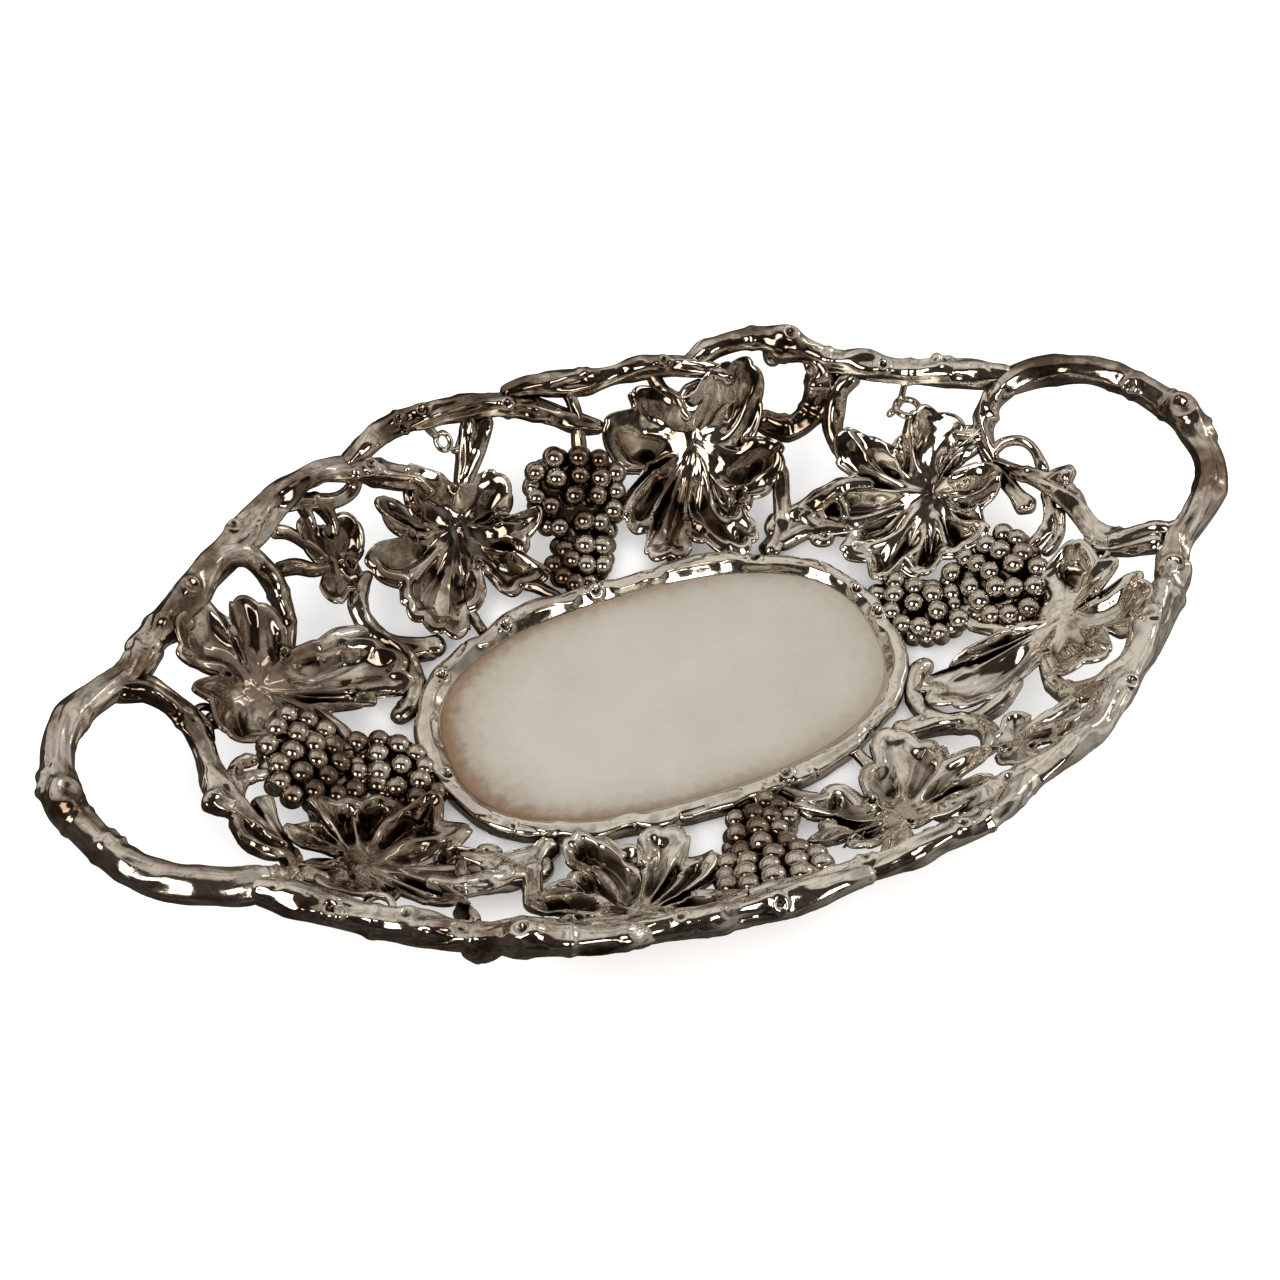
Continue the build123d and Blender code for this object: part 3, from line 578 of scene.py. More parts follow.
def leaf(middle, edge, seed):
    """A thick cast leaf: fluted lobes, ribbed veins, eyelets at the notches, a stippled middle."""
    rim = smooth(edge, LEAF_STEPS, closed=True)
    marks = lobe_marks(middle, edge)
    # the way round the edge in listed points, with a blunt tooth between each two of them
    at = np.arange(len(rim)) / LEAF_STEPS
    jag = 0.03 * noise(at * 1.1, 0.5, 0.5, seed + 11) + 0.055 * np.abs(np.sin(math.pi * at)) - 0.02
    rim[:, 0] += jag * (rim[:, 0] - middle[0])
    rim[:, 1] += jag * (rim[:, 1] - middle[1])
    count = len(edge)
    wrapped = np.where(at < marks[0], at + count, at)
    # scoops are counted along the edge: each stretch between a notch and a tip holds one or more
    bounds = marks + [marks[0] + count]
    scoops = [0]
    for here, there in zip(bounds, bounds[1:]):
        stretch = [edge[k % count] for k in range(here, there + 1)]
        reach = sum(math.dist(p[:2], q[:2]) for p, q in zip(stretch, stretch[1:]))
        scoops.append(scoops[-1] + max(1, round(reach / SCOOP_WIDTH)))
    total = scoops[-1]
    phase = np.interp(wrapped, bounds, scoops)[None, :]

    def round_noise(turns, often, across, offset):
        """Noise that closes on itself round the leaf, with often features to a scoop."""
        a, r = 2 * math.pi * turns / total, often * total / (2 * math.pi)
        return noise(r * np.cos(a) + 40, r * np.sin(a) + 40, across, seed + offset)

    v = np.linspace(0, 1, LEAF_ROWS)[:, None] ** 0.8
    x, y = spread(middle, rim, v)
    far = np.hypot(x - middle[0], y - middle[1])
    size = float(np.hypot(rim[:, 0] - middle[0], rim[:, 1] - middle[1]).mean()) / USUAL_LEAF
    flute = FLUTE * math.sqrt(size)
    # the folds swing sideways on their way out, and start unevenly far from the middle
    sway = 1.5 * round_noise(phase, 0.35, 0.7, 2) + math.copysign(0.5, (seed // 10) % 2 - 0.5)
    bent = phase + 0.8 * np.sin(math.pi * v ** 0.9) * sway
    scoop = np.sin(math.pi * bent) ** 2 + 0.1 * np.sin(2 * math.pi * bent)
    deep = 1 + 0.6 * round_noise(bent, 0.6, v * 1.4, 0)
    start = size * (6.5 + 3.0 * round_noise(phase, 0.7, 0.4, 6))
    lift = rim[None, :, 2] * v ** 3 - CUP * (1 - v ** 2) + 0.45 * flute
    lift = lift - flute * scoop * deep * ease(far - start, 0.0, 10.0 * size)
    lift = lift + 1.6 * round_noise(bent, 1.3, v * 2.6, 9) * ease(far, 2.0, 10.0)
    # the edge rolls up, and its last bit turns down
    to_rim = edge_distance(x, y, rim)
    roll = 0.7 + 0.7 * round_noise(phase, 1.1, 0.5, 5)
    lift = lift + (0.6 * flute * scoop * deep + CURL_UP * roll) * (1 - ease(to_rim, 2.0, 5.8))
    lift = lift - 0.6 * (1 - ease(to_rim, 0.0, 0.8))
    # no fold reaches down to the table
    lowest = LEAF_THICK + OFF_TABLE - (PLATE_TOP + bowl(x, y))
    lift = np.maximum(lift, lowest + 0.3 * np.exp(np.minimum(lift - lowest, 0)))
    plain = lift.copy()
    ribs = np.zeros_like(lift)
    for k in marks[1::2]:
        tip = edge[k % count]
        way = (tip[0] - middle[0], tip[1] - middle[1])
        vein_end = (tip[0] - 0.3 * way[0], tip[1] - 0.3 * way[1])
        ribs = np.maximum(ribs, vein_ridge(x, y, middle, vein_end, 0.7, 0.12))
        for share, lean in ((0.3, 0.6), (0.3, -0.6), (0.55, 0.55), (0.55, -0.55)):
            root = (middle[0] + share * way[0], middle[1] + share * way[1])
            reach = 0.36 * (1.1 - share)
            c, n = math.cos(lean), math.sin(lean)
            turned = (c * way[0] - n * way[1], n * way[0] + c * way[1])
            end = (root[0] + reach * turned[0], root[1] + reach * turned[1])
            ribs = np.maximum(ribs, vein_ridge(x, y, root, end, 0.5, 0.08, groove=False))
    lift = lift + ribs * ease(far, 4.0, 12.0) * ease(to_rim, 0.6, 2.5)
    for k in marks[0::2]:
        notch = edge[k % count]
        ex, ey = (middle[i] + 0.8 * (notch[i] - middle[i]) for i in (0, 1))
        away = np.hypot(x - ex, y - ey)
        lift = lift + 0.9 * np.exp(-((away - 1.5) / 0.5) ** 2) - 1.3 * np.exp(-(away / 0.9) ** 2)
    stipple = noise(x * 1.6, y * 1.6, 0, seed + 8) * 0.05
    stipple = stipple + noise(x * 0.5, y * 0.5, 0, seed + 7) * 0.25 + 0.35
    lift = lift + stipple * (1 - ease(far, 1.5, 8.0))
    top = place(x, y, lift)
    out = unit(np.stack([rim[:, 0] - middle[0], rim[:, 1] - middle[1], 0 * at], axis=-1))
    # the brim goes round by half the thickness, from the top to the underside
    brim = []
    half_thick = 0.5 * LEAF_THICK
    for degrees in (35, 90, 145):
        a = math.radians(degrees)
        drop = np.array([0, 0, half_thick]) * (1 - math.cos(a))
        brim.append(top[-1] + out * (half_thick * math.sin(a)) - drop)
    under_rows = np.arange(LEAF_ROWS - 1, 0, -2)
    under = place(x, y, plain - LEAF_THICK)[under_rows]
    skin = np.concatenate([top[1:], np.array(brim), under])
    bottom = place(*middle, plain[0, 0] - LEAF_THICK)[None]
    points = np.concatenate([skin.reshape(-1, 3), top[0, :1], bottom])
    return points, capped_faces(len(skin), len(rim), flip=turns_left(rim))


def plain_patch(middle, rim):
    """A thin cushion of metal under a cluster."""
    v = np.linspace(0, 1, 12)[:, None]
    x, y = spread(middle, rim, v)
    bulge = BACKING_THICK * np.sqrt(np.clip(1 - v ** 2, 0, 1))
    top = place(x, y, -BACKING_SINK + 0.5 * bulge)
    under = place(x, y, -BACKING_SINK - 0.5 * bulge)[::-1]
    skin = np.concatenate([top[1:], under[1:-1]])
    points = np.concatenate([skin.reshape(-1, 3), top[0, :1], under[-1, :1]])
    return points, capped_faces(len(skin), len(rim), flip=turns_left(rim))


def oval_points(a, b, angle):
    """Points of a superellipse with half axes a and b."""
    c, s = np.cos(angle), np.sin(angle)
    reach = (np.abs(c / a) ** OVAL_POWER + np.abs(s / b) ** OVAL_POWER) ** (-1 / OVAL_POWER)
    return reach * c, reach * s


def plate():
    """The flat oval plate, very slightly uneven."""
    rows, cols = 60, 260
    angle = np.linspace(0, 2 * math.pi, cols, endpoint=False)
    share = np.linspace(0, 1, rows)[1:, None] ** 0.9
    ex, ey = oval_points(PLATE_A + PLATE_TUCK, PLATE_B + PLATE_TUCK, angle)
    x, y = ex * share, ey * share
    high, low = PLATE_TOP - PLATE_SINK, PLATE_TOP - PLATE_THICK
    z = high + 0.04 * noise(x / 22, y / 22, 0, 3) * (1 - share ** 4)
    top = np.stack([x, y, z], axis=-1)
    under = np.stack([ex, ey, 0 * ex + low], axis=-1)[None]
    skin = np.concatenate([top, under])
    points = np.concatenate([skin.reshape(-1, 3), [[0, 0, high]], [[0, 0, low]]])
    return points, capped_faces(len(skin), cols, flip=True)


# dark pits left by side shoots on the ring's top band
RING_PITS = [
    (44.5, 37.4), (-39, 37.6), (70, 14.5), (72.6, 4), (-71.5, -8), (22, -41), (-8, 41.2), (-63, 26),
]


def ring():
    """The bark ring: inner bevel, flat top band with nicks, rounded outside."""
    cols = 1100
    angle = np.linspace(0, 2 * math.pi, cols, endpoint=False)
    # the section: (how far out from the plate's edge, height), anticlockwise from the inner foot
    section = smooth([
        (0.0, 3.2), (0.3, 4.2), (1.1, 5.2), (2.0, 6.3), (2.7, 7.0), (3.6, 7.25), (4.9, 7.2), (6.2, 6.9),
        (7.1, 5.8), (7.4, 4.2), (7.1, 2.4), (6.3, 0.6), (5.0, 0.02), (3.0, 0.0), (1.0, 0.02), (0.1, 0.8),
    ], 3, closed=True)
    ex, ey = oval_points(PLATE_A, PLATE_B, angle)
    tangent = unit(np.stack([np.roll(ex, -1) - np.roll(ex, 1), np.roll(ey, -1) - np.roll(ey, 1)], axis=-1))
    nx, ny = tangent[:, 1], -tangent[:, 0]
    out, high = section[:, 0][:, None], section[:, 1][:, None]
    cx, cy = ex[None] / 9, ey[None] / 9
    wave = noise(cx, cy, 0, 21)
    ripple = noise(cx * 2.2, cy * 2.2, 0, 26)
    fine = noise(cx * 3.2, cy * 3.2, out / 1.3, 22)
    crease = np.exp(-(noise(cx * 1.7, cy * 1.7, out / 1.8 + high / 3, 23) / 0.10) ** 2)
    crease = crease * ease(noise(cx * 1.1, cy * 1.1, out / 3, 24), -0.05, 0.35)
    upper = ease(high, 2.0, 5.5)
    inner = 1 - ease(out, 2.2, 3.4)
    outer = ease(out, 4.6, 6.8)
    lip = inner * ease(high, 4.4, 7.0)
    out_here = out + outer * ease(high, 0.0, 1.5) * (1.3 * wave + 0.5 * ripple) - 0.4 * crease * outer
    out_here = out_here + lip * (0.9 * wave + 0.9 * ripple)
    high_here = high + upper * (1 - inner) * (0.5 * wave + 0.16 * ripple + 0.03 * fine - 0.4 * crease)
    x = ex[None] + out_here * nx[None]
    y = ey[None] + out_here * ny[None]
    for px, py in RING_PITS:
        far = np.hypot(x - px, y - py)
        pit = 0.5 * np.exp(-((far - 2.0) / 0.7) ** 2) - 1.6 * np.exp(-(far / 1.1) ** 2)
        high_here = high_here + upper * pit
    skin = np.stack([x, y, np.maximum(high_here, 0)], axis=-1)
    faces = grid_faces(len(section), cols)
    last = (len(section) - 1) * cols
    for j in range(cols):
        k = (j + 1) % cols
        faces.append([last + j, last + k, k, j])
    return skin.reshape(-1, 3), [face[::-1] for face in faces]


# ---- materials ----


def node(tree, kind, **values):
    """A new shader node; each value goes to the input of that name, or else to the setting."""
    made = tree.nodes.new(kind)
    for key, value in values.items():
        if key in made.inputs:
            feed(tree, made.inputs[key], value)
        else:
            setattr(made, key, value)
    return made


def feed(tree, socket, value):
    """Give an input its value: a socket, a colour as a tuple, a vector as a list, or a number."""
    if isinstance(value, bpy.types.NodeSocket):
        tree.links.new(value, socket)
    elif isinstance(value, tuple):
        socket.default_value = (*value, 1)
    else:
        socket.default_value = value


def feed_all(tree, made, values):
    """Give several named inputs of a node their values."""
    for key, value in values.items():
        feed(tree, made.inputs[key], value)


def maths(tree, operation, *values, clamp=False):
    """The result of one operation on sockets or plain numbers."""
    made = node(tree, "ShaderNodeMath", operation=operation, use_clamp=clamp)
    for socket, value in zip(made.inputs, values):
        feed(tree, socket, value)
    return made.outputs[0]


def dotted(tree, source, way):
    """How far a place or direction lies along a way: their dot product."""
    made = node(tree, "ShaderNodeVectorMath", operation="DOT_PRODUCT")
    tree.links.new(source, made.inputs[0])
    made.inputs[1].default_value = way
    return made.outputs["Value"]


def noise_map(tree, source, scale, detail, roughness):
    """Solid noise from 0 to 1 at the places that source gives."""
    made = node(tree, "ShaderNodeTexNoise", Vector=source, Scale=scale, Detail=detail,
                Roughness=roughness)
    return made.outputs["Fac"]


def bumped(tree, height, strength, distance, below=None):
    """The normals of small bumps, added to those of below where it is given."""
    made = node(tree, "ShaderNodeBump", Height=height, Strength=strength, Distance=distance)
    if below is not None:
        tree.links.new(below, made.inputs["Normal"])
    return made.outputs["Normal"]


def ramp(tree, source, stops):
    """A colour ramp of (position, grey or colour) stops on a source socket."""
    made = tree.nodes.new("ShaderNodeValToRGB")
    elements = made.color_ramp.elements
    while len(elements) < len(stops):
        elements.new(0.5)
    for element, (at, value) in zip(elements, stops):
        element.position = at
        element.color = (value, value, value, 1) if isinstance(value, (int, float)) else (*value, 1)
    tree.links.new(source, made.inputs[0])
    return made.outputs[0]


def mixed(tree, factor, first, second, blend="MIX"):
    """Colour mix; each of the three may be a socket or a plain value."""
    made = node(tree, "ShaderNodeMix", data_type="RGBA", blend_type=blend)
    for socket, value in ((made.inputs[0], factor), (made.inputs[6], first), (made.inputs[7], second)):
        feed(tree, socket, value)
    return made.outputs[2]


def layered(tree, colour, layers):
    """A colour under others: each layer has a source, its ramp to a share, and a colour."""
    for source, stops, over in layers:
        colour = mixed(tree, ramp(tree, source, stops), colour, over)
    return colour


def surface(name):
    """A new material, its tree and its shader."""
    made = bpy.data.materials.new(name)
    made.use_nodes = True
    return made, made.node_tree, made.node_tree.nodes["Principled BSDF"]


def polished_metal(name, bright, tarnish, rough, grain, recess=0.005, open_from=0.80,
                   lean=(-0.65, 0.7, 0.0)):
    """Worn silver-like metal: dark in its recesses, browned in patches, with fine scratches.

    tarnish is the strength of the patches and lean the way in which they get stronger; recess is
    the width in metres of the gaps that darken, and open_from how open a place is left clean."""
    made, tree, shader = surface(name)
    spot = tree.nodes.new("ShaderNodeTexCoord").outputs["Object"]
    patch = noise_map(tree, spot, 55.0, 4.0, 0.6)
    speck = noise_map(tree, spot, 700.0, 3.0, 0.65)
    fine = noise_map(tree, spot, 2600.0, 2.0, 0.6)
    shade = node(tree, "ShaderNodeAmbientOcclusion", Distance=recess, samples=8)
    crevice = ramp(tree, shade.outputs["AO"], [(0.30, 1.0), (open_from, 0.0)])
    edge = tree.nodes.new("ShaderNodeNewGeometry").outputs["Pointiness"]
    # one side of the tray is browner than the other; on that side leaf middles are brownest
    towards = dotted(tree, spot, lean)
    leaning = maths(tree, "ADD", towards, patch)
    aged = node(tree, "ShaderNodeAttribute", attribute_name="aged").outputs["Fac"]
    lean_share = maths(tree, "MULTIPLY", towards, 7.0, clamp=True)
    older = maths(tree, "MULTIPLY_ADD", aged, lean_share, leaning)
    colour = layered(tree, bright, [
        (older, [(0.44, 0.0), (0.60, tarnish)], BROWN),
        (older, [(0.54, 0.0), (0.66, tarnish)], DARK),
        (speck, [(0.60, 0.0), (0.70, 0.5)], tuple(c * 0.45 for c in BROWN)),
        (edge, [(0.46, 1.0), (0.499, 0.0)], (0.10, 0.075, 0.055)),
    ])
    colour = mixed(tree, crevice, colour, (0.10, 0.070, 0.050))
    dull = ramp(tree, speck, [(0.40, rough), (0.75, rough + 0.10)])
    dull = mixed(tree, crevice, dull, (0.14, 0.14, 0.14))
    coarse = bumped(tree, speck, grain, 0.00035)
    normal = bumped(tree, fine, grain * 0.6, 0.0001, coarse)
    feed_all(tree, shader, {
        "Base Color": colour, "Metallic": 1.0, "Roughness": dull, "Normal": normal,
    })
    return made


def plate_metal():
    """Satin plate: faint lengthwise brushing, browned and speckled towards its edge."""
    made, tree, shader = surface("plate_metal")
    spot = tree.nodes.new("ShaderNodeTexCoord").outputs["Object"]
    scratch_space = node(tree, "ShaderNodeMapping", Vector=spot, Scale=[60, 2400, 60],
                         Rotation=[0, 0, 0.06])
    brush = noise_map(tree, scratch_space.outputs["Vector"], 1.0, 3.0, 0.6)
    cloud = noise_map(tree, spot, 35.0, 4.0, 0.6)
    speck = noise_map(tree, spot, 1300.0, 2.0, 0.6)
    mottled = noise_map(tree, spot, 320.0, 3.0, 0.7)
    # how near the edge: the superellipse's sum of powers, 1 at the plate's edge
    split = node(tree, "ShaderNodeSeparateXYZ", Vector=spot)
    powers = []
    for axis, half in (("X", PLATE_A), ("Y", PLATE_B)):
        share = maths(tree, "DIVIDE", maths(tree, "ABSOLUTE", split.outputs[axis]), half * MM)
        powers.append(maths(tree, "POWER", share, OVAL_POWER))
    # two noises make the browned edge uneven, and the last number takes out their mean
    worn = maths(tree, "MULTIPLY_ADD", cloud, 0.25, maths(tree, "ADD", *powers))
    worn = maths(tree, "MULTIPLY_ADD", mottled, 0.3, worn)
    worn = maths(tree, "SUBTRACT", worn, 0.27)
    near_edge = ramp(tree, worn, [(0.35, 0.0), (0.60, 0.12), (0.80, 0.42), (0.92, 0.82), (1.0, 1.0)])
    # 0 at the plate's left end and 1 at its right end
    rightwards = maths(tree, "MULTIPLY_ADD", split.outputs["X"], 0.5 / (PLATE_A * MM), 0.5)
    left_side = ramp(tree, rightwards, [(0.0, 1.0), (1.0, 0.35)])
    near_edge = mixed(tree, 1.0, near_edge, left_side, "MULTIPLY")
    colour = mixed(tree, near_edge, (0.74, 0.72, 0.65), (0.27, 0.150, 0.08))
    colour = layered(tree, colour, [
        (brush, [(0.40, 0.0), (0.70, 0.06)], (0.50, 0.46, 0.40)),
        (cloud, [(0.38, 0.0), (0.72, 0.22)], (0.50, 0.43, 0.34)),
        (speck, [(0.66, 0.0), (0.74, 0.35)], (0.30, 0.24, 0.19)),
    ])
    dull = ramp(tree, brush, [(0.3, 0.30), (0.7, 0.42)])
    normal = bumped(tree, brush, 0.05, 0.00005)
    feed_all(tree, shader, {
        "Base Color": colour, "Metallic": 0.8, "Roughness": dull, "Normal": normal,
    })
    return made


BRIGHT = (0.84, 0.79, 0.715)
DULLER = (0.70, 0.64, 0.57)
BROWN = (0.30, 0.205, 0.14)
DARK = (0.11, 0.075, 0.052)
MATERIALS = {
    "branch_metal": polished_metal("branch_metal", BRIGHT, 0.75, 0.055, 0.05, lean=(-0.35, 0.9, 0.0)),
    "handle_metal": polished_metal("handle_metal", DULLER, 0.9, 0.10, 0.12, lean=(0.2, 0.3, 0.0)),
    "ring_metal": polished_metal("ring_metal", BRIGHT, 0.25, 0.07, 0.04, recess=0.003),
    "leaf_metal": polished_metal("leaf_metal", BRIGHT, 0.65, 0.06, 0.03, recess=0.008, open_from=0.90),
    "grape_metal": polished_metal("grape_metal", DULLER, 0.8, 0.07, 0.04, recess=0.004,
                                  lean=(-0.4, 0.4, 0.0)),
    "plate_metal": plate_metal(),
}

# ---- pieces ----


def write_mesh(name, points, faces):
    """A Blender mesh in metres from points in millimetres."""
    mesh = bpy.data.meshes.new(name)
    mesh.from_pydata((points * MM).tolist(), [], faces)
    mesh.polygons.foreach_set("use_smooth", [True] * len(mesh.polygons))
    mesh.update()
    return mesh


def fused(mesh):
    """The same mesh with its overlapping branches run together, and the joints softened."""
    holder = bpy.data.objects.new("fusing", mesh)
    bpy.context.collection.objects.link(holder)
    remesh = holder.modifiers.new("join", "REMESH")
    remesh.mode = "VOXEL"
    remesh.voxel_size = FUSE_VOXEL * MM
    remesh.use_smooth_shade = True
    soften = holder.modifiers.new("soften", "SMOOTH")
    soften.factor = 0.5
    soften.iterations = 3
    graph = bpy.context.evaluated_depsgraph_get()
    made = bpy.data.meshes.new_from_object(holder.evaluated_get(graph))
    made.name = mesh.name
    bpy.data.objects.remove(holder)
    bpy.data.meshes.remove(mesh)
    return made


def add_piece(name, node_name, mesh, slot, finish=None):
    """A named piece in place of one CAD node; finish names its metal where that is not its slot."""
    piece = bpy.data.objects.new(name, mesh)
    bpy.context.collection.objects.link(piece)
    mesh.materials.clear()
    mesh.materials.append(MATERIALS[finish or slot])
    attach(piece, "root")
    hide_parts(node_name)


def add_pair(name, points, faces, slot, fuse=False, finish=None, aged=None):
    """The east copy as made, and the west copy after half a turn about +Z."""
    points[:, 2] = np.maximum(points[:, 2], OFF_TABLE)
    east = write_mesh(name + "_east", points, faces)
    if aged is not None:
        east.attributes.new("aged", "FLOAT", "POINT").data.foreach_set("value", aged)
    if fuse:
        east = fused(east)
    west = east.copy()
    west.transform(Matrix.Rotation(math.pi, 4, "Z"))
    add_piece("cast_" + name + "_east", name + "_east", east, slot, finish)
    add_piece("cast_" + name + "_west", name + "_west", west, slot, finish)


def make_handle():
    """The thick branch that loops out at the end of the tray."""
    made = vine(HANDLE, 11, SMOOTH_BARK, HANDLE_KNOTS, girth=HANDLE_GIRTH)
    add_pair("loop_handle", *made, "branch_metal", finish="handle_metal")


def make_branches():
    """The branches along the rim, with their side shoots."""
    for k, (name, points) in enumerate(RIM_BRANCHES.items()):
        parts = [vine(points, 30 + 10 * k, RIM_BARK, RIM_KNOTS[name], girth=RIM_GIRTH)]
        shoots = RIM_EXTRAS.get(name, ())
        parts += [vine(line, 35 + 10 * k + j, SMOOTH_BARK) for j, line in enumerate(shoots)]
        add_pair(name, *joined(parts), "branch_metal", fuse=len(parts) > 1)


def make_stems():
    """Stems between the rim, the ring and the leaves, and the vines inside the handle."""
    for k, (name, lines) in enumerate({**STEMS, **INNER_VINES}.items()):
        girth = STEM_GIRTH if name in STEMS else VINE_GIRTH
        lines = lines + STEM_EXTRAS.get(name, [])
        rough = STEM_BARK if name in STEMS else VINE_BARK
        parts = [vine(line, 200 + 20 * k + j, rough, girth=girth) for j, line in enumerate(lines)]
        add_pair(name, *joined(parts), "branch_metal", fuse=len(parts) > 1)


def make_leaves():
    """The leaves with the feet cast on to them; the shoulder leaf also has a small curl."""
    for k, (name, (middle, edge)) in enumerate(LEAVES.items()):
        parts = [leaf(middle, edge, 500 + 10 * k)]
        feet = LEAF_FEET.get(name, ())
        parts += [vine(line, 505 + 10 * k + j, SMOOTH_BARK) for j, line in enumerate(feet)]
        if name == "leaf_shoulder":
            parts.append(curl(-132.5, 15.5, radius=3.4, wire=1.1, start=200, turns=-0.9,
                              lift=(0.5, 2.2), seed=590, shrink=0.9))
            parts.append(ball(place(-131.5, 14.8, 1.2), 2.5, 591))
        points, faces = joined(parts)
        far = np.hypot(points[:, 0] - middle[0], points[:, 1] - middle[1])
        add_pair(name, points, faces, "leaf_metal", aged=AGED * (1 - ease(far, 3.0, 15.0)))


def make_grapes():
    """The clusters: listed berries, and smaller ones round the edge of their backing."""
    draw = np.random.default_rng(7)
    for name, berries in CLUSTERS.items():
        parts = []
        for k, (x, y, lift) in enumerate(berries):
            size = BERRY_R * (0.9 + 0.16 * draw.random())
            parts.append(ball(place(x, y, lift), size, 700 + k))
        backing = BACKINGS[name]
        middle = tuple(sum(p[i] for p in backing) / len(backing) for i in (0, 1))
        rim = smooth(backing, 8, closed=True)
        spots = place(rim[:, 0], rim[:, 1], rim[:, 2] - 1.5)
        for k in range(0, len(rim), 5):
            parts.append(ball(spots[k], BERRY_R * (0.8 + 0.15 * draw.random()), 800 + k))
        parts.append(plain_patch(middle, rim))
        add_pair(name, *joined(parts), "grape_metal")


def make_tendrils():
    """The two wire curls and the short stalks that hold them."""
    add_pair("tendril_handle", *joined([
        curl(104.2, 58.3, radius=3.9, wire=1.1, start=130, turns=-1.15, lift=(0.2, 1.1), seed=901,
             shrink=0.95, flat=1.0),
        vine([(106.5, 65.5, 0, 1.4), (105, 63.8, -0.6, 1.2), (103.2, 61.6, -1.9, 1.15),
              (101.2, 60.8, -1.6, 1.2), (99.6, 60.3, -1.0, 1.3),
              (98.4, 59.6, -0.5, 0.9)], 902, WIRE_BARK),
    ]), "branch_metal", fuse=True)
    add_pair("tendril_middle", *joined([
        curl(-41.4, 89.2, radius=2.2, wire=1.0, start=90, turns=1.05, lift=(0.5, 0.9), seed=911, flat=0.5),
        vine([(-45.6, 92.6, 0, 1.6), (-44.2, 91.2, 0.2, 1.4), (-42.8, 90.2, 0.3, 1.1)], 912, WIRE_BARK),
        vine([(-39.7, 87.6, 0.6, 1.0), (-38.0, 87.4, 0.6, 1.3), (-35.8, 87.8, 0.3, 1.6)], 913, WIRE_BARK),
    ]), "branch_metal", fuse=True)


def make_well():
    """The plate and the ring, which have no copies."""
    add_piece("satin_plate", "well_plate", write_mesh("satin_plate", *plate()), "plate_metal")
    add_piece("cast_ring", "bark_ring", write_mesh("cast_ring", *ring()), "branch_metal", "ring_metal")


make_handle()
make_branches()
make_stems()
make_leaves()
make_grapes()
make_tendrils()
make_well()

# ---- floor, light, camera: lengths in metres ----

FLOOR_HALF = 4.0
FLOOR_COLOUR = (0.97, 0.97, 0.97)
FLOOR_GLOW = 0.14           # keeps the shadow under the tray light
FAR_AZIMUTH = 22.4          # the way the camera looks in plan, degrees from +Y towards +X
LAMP_COLOUR = (1.0, 0.95, 0.87)
LAMP_DISTANCE = 1.0
LAMP_AIM = Vector((0, 0, 0.02))
# Soft boxes: name, (azimuth, elevation) seen from the tray in degrees, width, height, power.
# Azimuth 0 is from -Y.
LAMPS = [
    ("left_box", (-54, 38), 0.44, 0.50, 3.4),
    ("right_box", (12, 34), 0.28, 0.36, 1.6),
    ("strip_box", (95, 30), 0.10, 0.5, 0.5),
]
FOCAL_LENGTH = 52.416
CAMERA_PLACE = (-0.130463, -0.293869, 0.472436)
CAMERA_AIM = Vector((-0.006364, 0.006957, 0.024085))
CAMERA_ROLL = math.radians(2.4425)


def make_floor():
    """A white table top that the metal does not mirror."""
    mesh = bpy.data.meshes.new("floor")
    corners = [(x * FLOOR_HALF, y * FLOOR_HALF, 0) for x, y in ((-1, -1), (1, -1), (1, 1), (-1, 1))]
    mesh.from_pydata(corners, [], [(0, 1, 2, 3)])
    floor = bpy.data.objects.new("floor", mesh)
    bpy.context.collection.objects.link(floor)
    paint, tree, shader = surface("floor_paint")
    feed_all(tree, shader, {
        "Base Color": FLOOR_COLOUR, "Roughness": 1.0, "Specular IOR Level": 0.0,
        "Emission Color": (1, 1, 1), "Emission Strength": FLOOR_GLOW,
    })
    mesh.materials.append(paint)
    floor.visible_glossy = False


def soft_box(name, towards, width, height, power):
    """A soft box that faces the tray from the given direction."""
    light = bpy.data.lights.new(name, "AREA")
    light.shape = "RECTANGLE"
    light.size, light.size_y = width, height
    light.energy = power
    light.color = LAMP_COLOUR
    lamp = bpy.data.objects.new(name, light)
    bpy.context.collection.objects.link(lamp)
    a, e = math.radians(towards[0]), math.radians(towards[1])
    way = Vector((math.sin(a) * math.cos(e), -math.cos(a) * math.cos(e), math.sin(e)))
    lamp.location = LAMP_AIM + way * LAMP_DISTANCE
    lamp.rotation_mode = "QUATERNION"
    lamp.rotation_quaternion = (-way).to_track_quat("-Z", "Y")


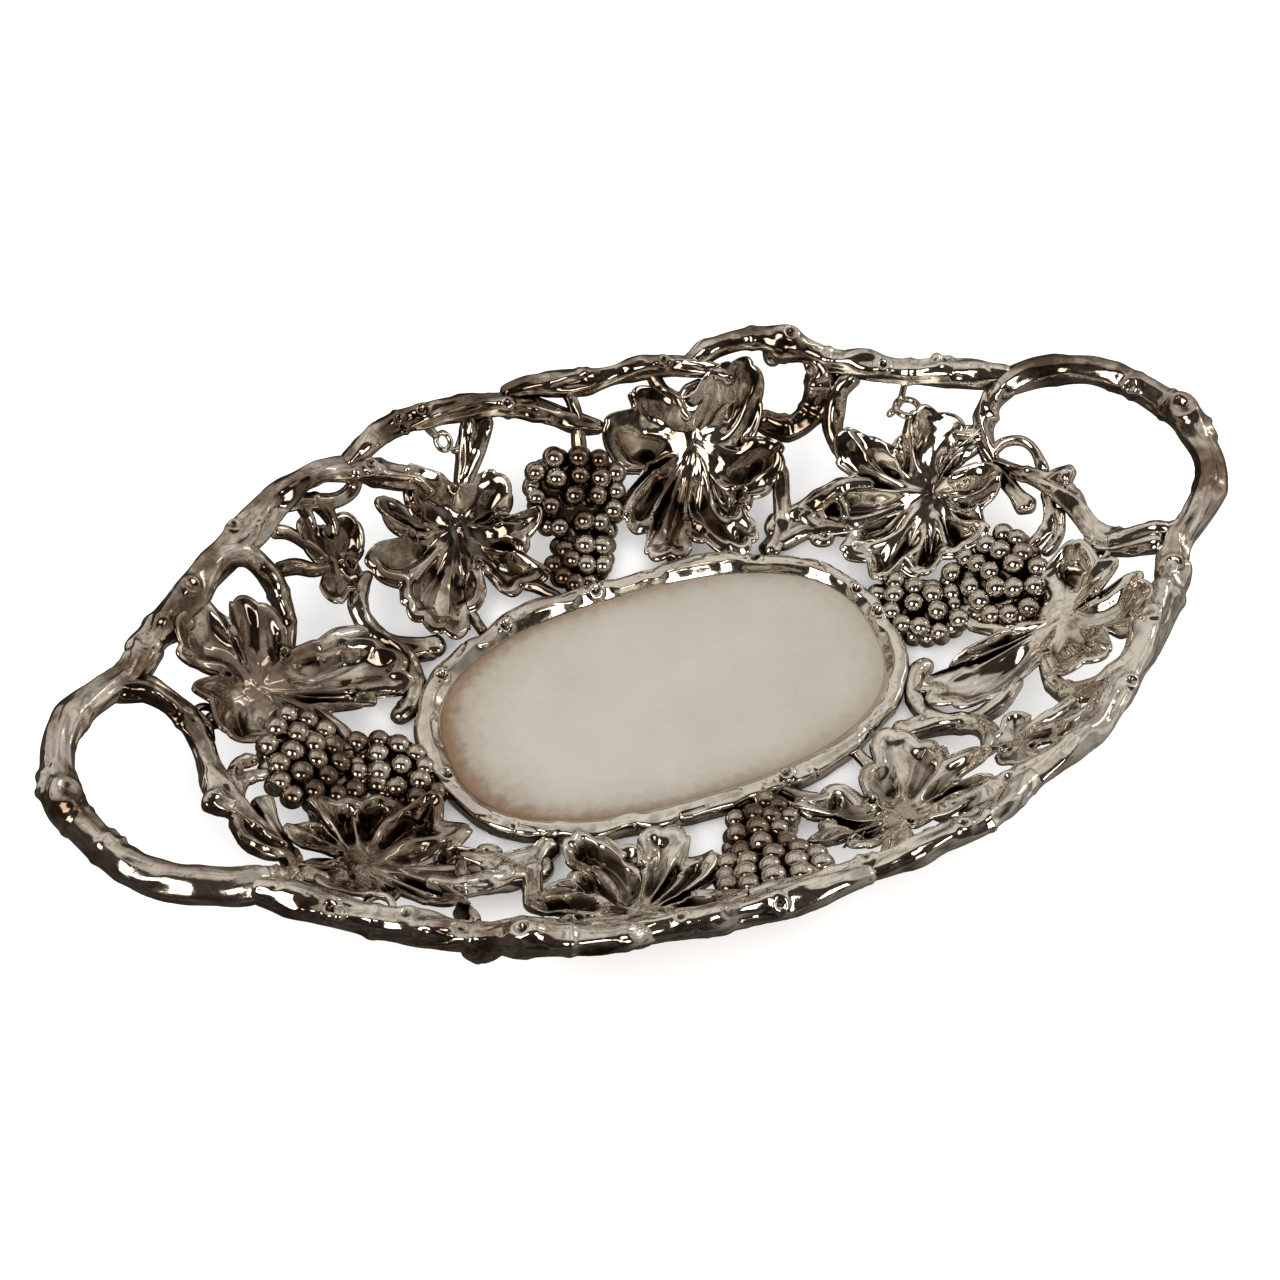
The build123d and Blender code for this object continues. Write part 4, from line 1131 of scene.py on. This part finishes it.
def make_world():
    """What the metal mirrors: a grey sweep beyond the tray and a dim brownish room on the near side.

    Everything else is lit evenly."""
    world = bpy.data.worlds.new("room")
    bpy.context.scene.world = world
    world.use_nodes = True
    tree = world.node_tree
    way = tree.nodes.new("ShaderNodeTexCoord").outputs["Generated"]
    a = math.radians(FAR_AZIMUTH)
    towards = dotted(tree, way, (math.sin(a), math.cos(a), 0.0))
    colour = ramp(tree, maths(tree, "MULTIPLY_ADD", towards, 0.5, 0.5), [
        (0.0, (0.022, 0.016, 0.012)), (0.2, (0.040, 0.029, 0.021)), (0.44, (0.055, 0.042, 0.031)),
        (0.485, (0.58, 0.545, 0.49)), (0.62, (0.80, 0.76, 0.70)), (0.9, (0.66, 0.625, 0.57)),
        (1.0, (0.36, 0.34, 0.31)),
    ])
    split = node(tree, "ShaderNodeSeparateXYZ", Vector=way)
    rightwards = dotted(tree, way, (0.95, -0.25, 0.15))
    table = ramp(tree, rightwards, [(0.10, (0.070, 0.060, 0.050)), (0.65, (0.27, 0.25, 0.22))])
    colour = layered(tree, colour, [(split.outputs["Z"], [(0.0, 1.0), (0.06, 0.0)], table)])
    right_wall = ramp(tree, rightwards, [(0.66, 0.0), (0.86, (0.36, 0.34, 0.31))])
    colour = mixed(tree, 1.0, colour, right_wall, "LIGHTEN")
    clutter = noise_map(tree, way, 2.4, 1.0, 0.4)
    dimmed = ramp(tree, clutter, [(0.38, 0.5), (0.52, 1.0)])
    colour = mixed(tree, 1.0, colour, dimmed, "MULTIPLY")
    mirrored = tree.nodes.new("ShaderNodeLightPath").outputs["Is Glossy Ray"]
    colour = mixed(tree, mirrored, (1.25, 1.25, 1.25), colour)
    feed_all(tree, tree.nodes["Background"], {"Color": colour, "Strength": 1.0})


def make_camera():
    """The camera of the photo."""
    camera = bpy.data.cameras.new("camera")
    camera.lens = FOCAL_LENGTH
    camera.sensor_width = 36.0
    camera.clip_start = 0.01
    eye = bpy.data.objects.new("camera", camera)
    bpy.context.collection.objects.link(eye)
    eye.location = CAMERA_PLACE
    eye.rotation_mode = "QUATERNION"
    look = (CAMERA_AIM - eye.location).to_track_quat("-Z", "Y")
    eye.rotation_quaternion = look @ Matrix.Rotation(CAMERA_ROLL, 3, "Z").to_quaternion()
    bpy.context.scene.camera = eye


make_floor()
make_world()
for lamp_values in LAMPS:
    soft_box(*lamp_values)
make_camera()
bpy.context.scene.view_settings.view_transform = "Standard"
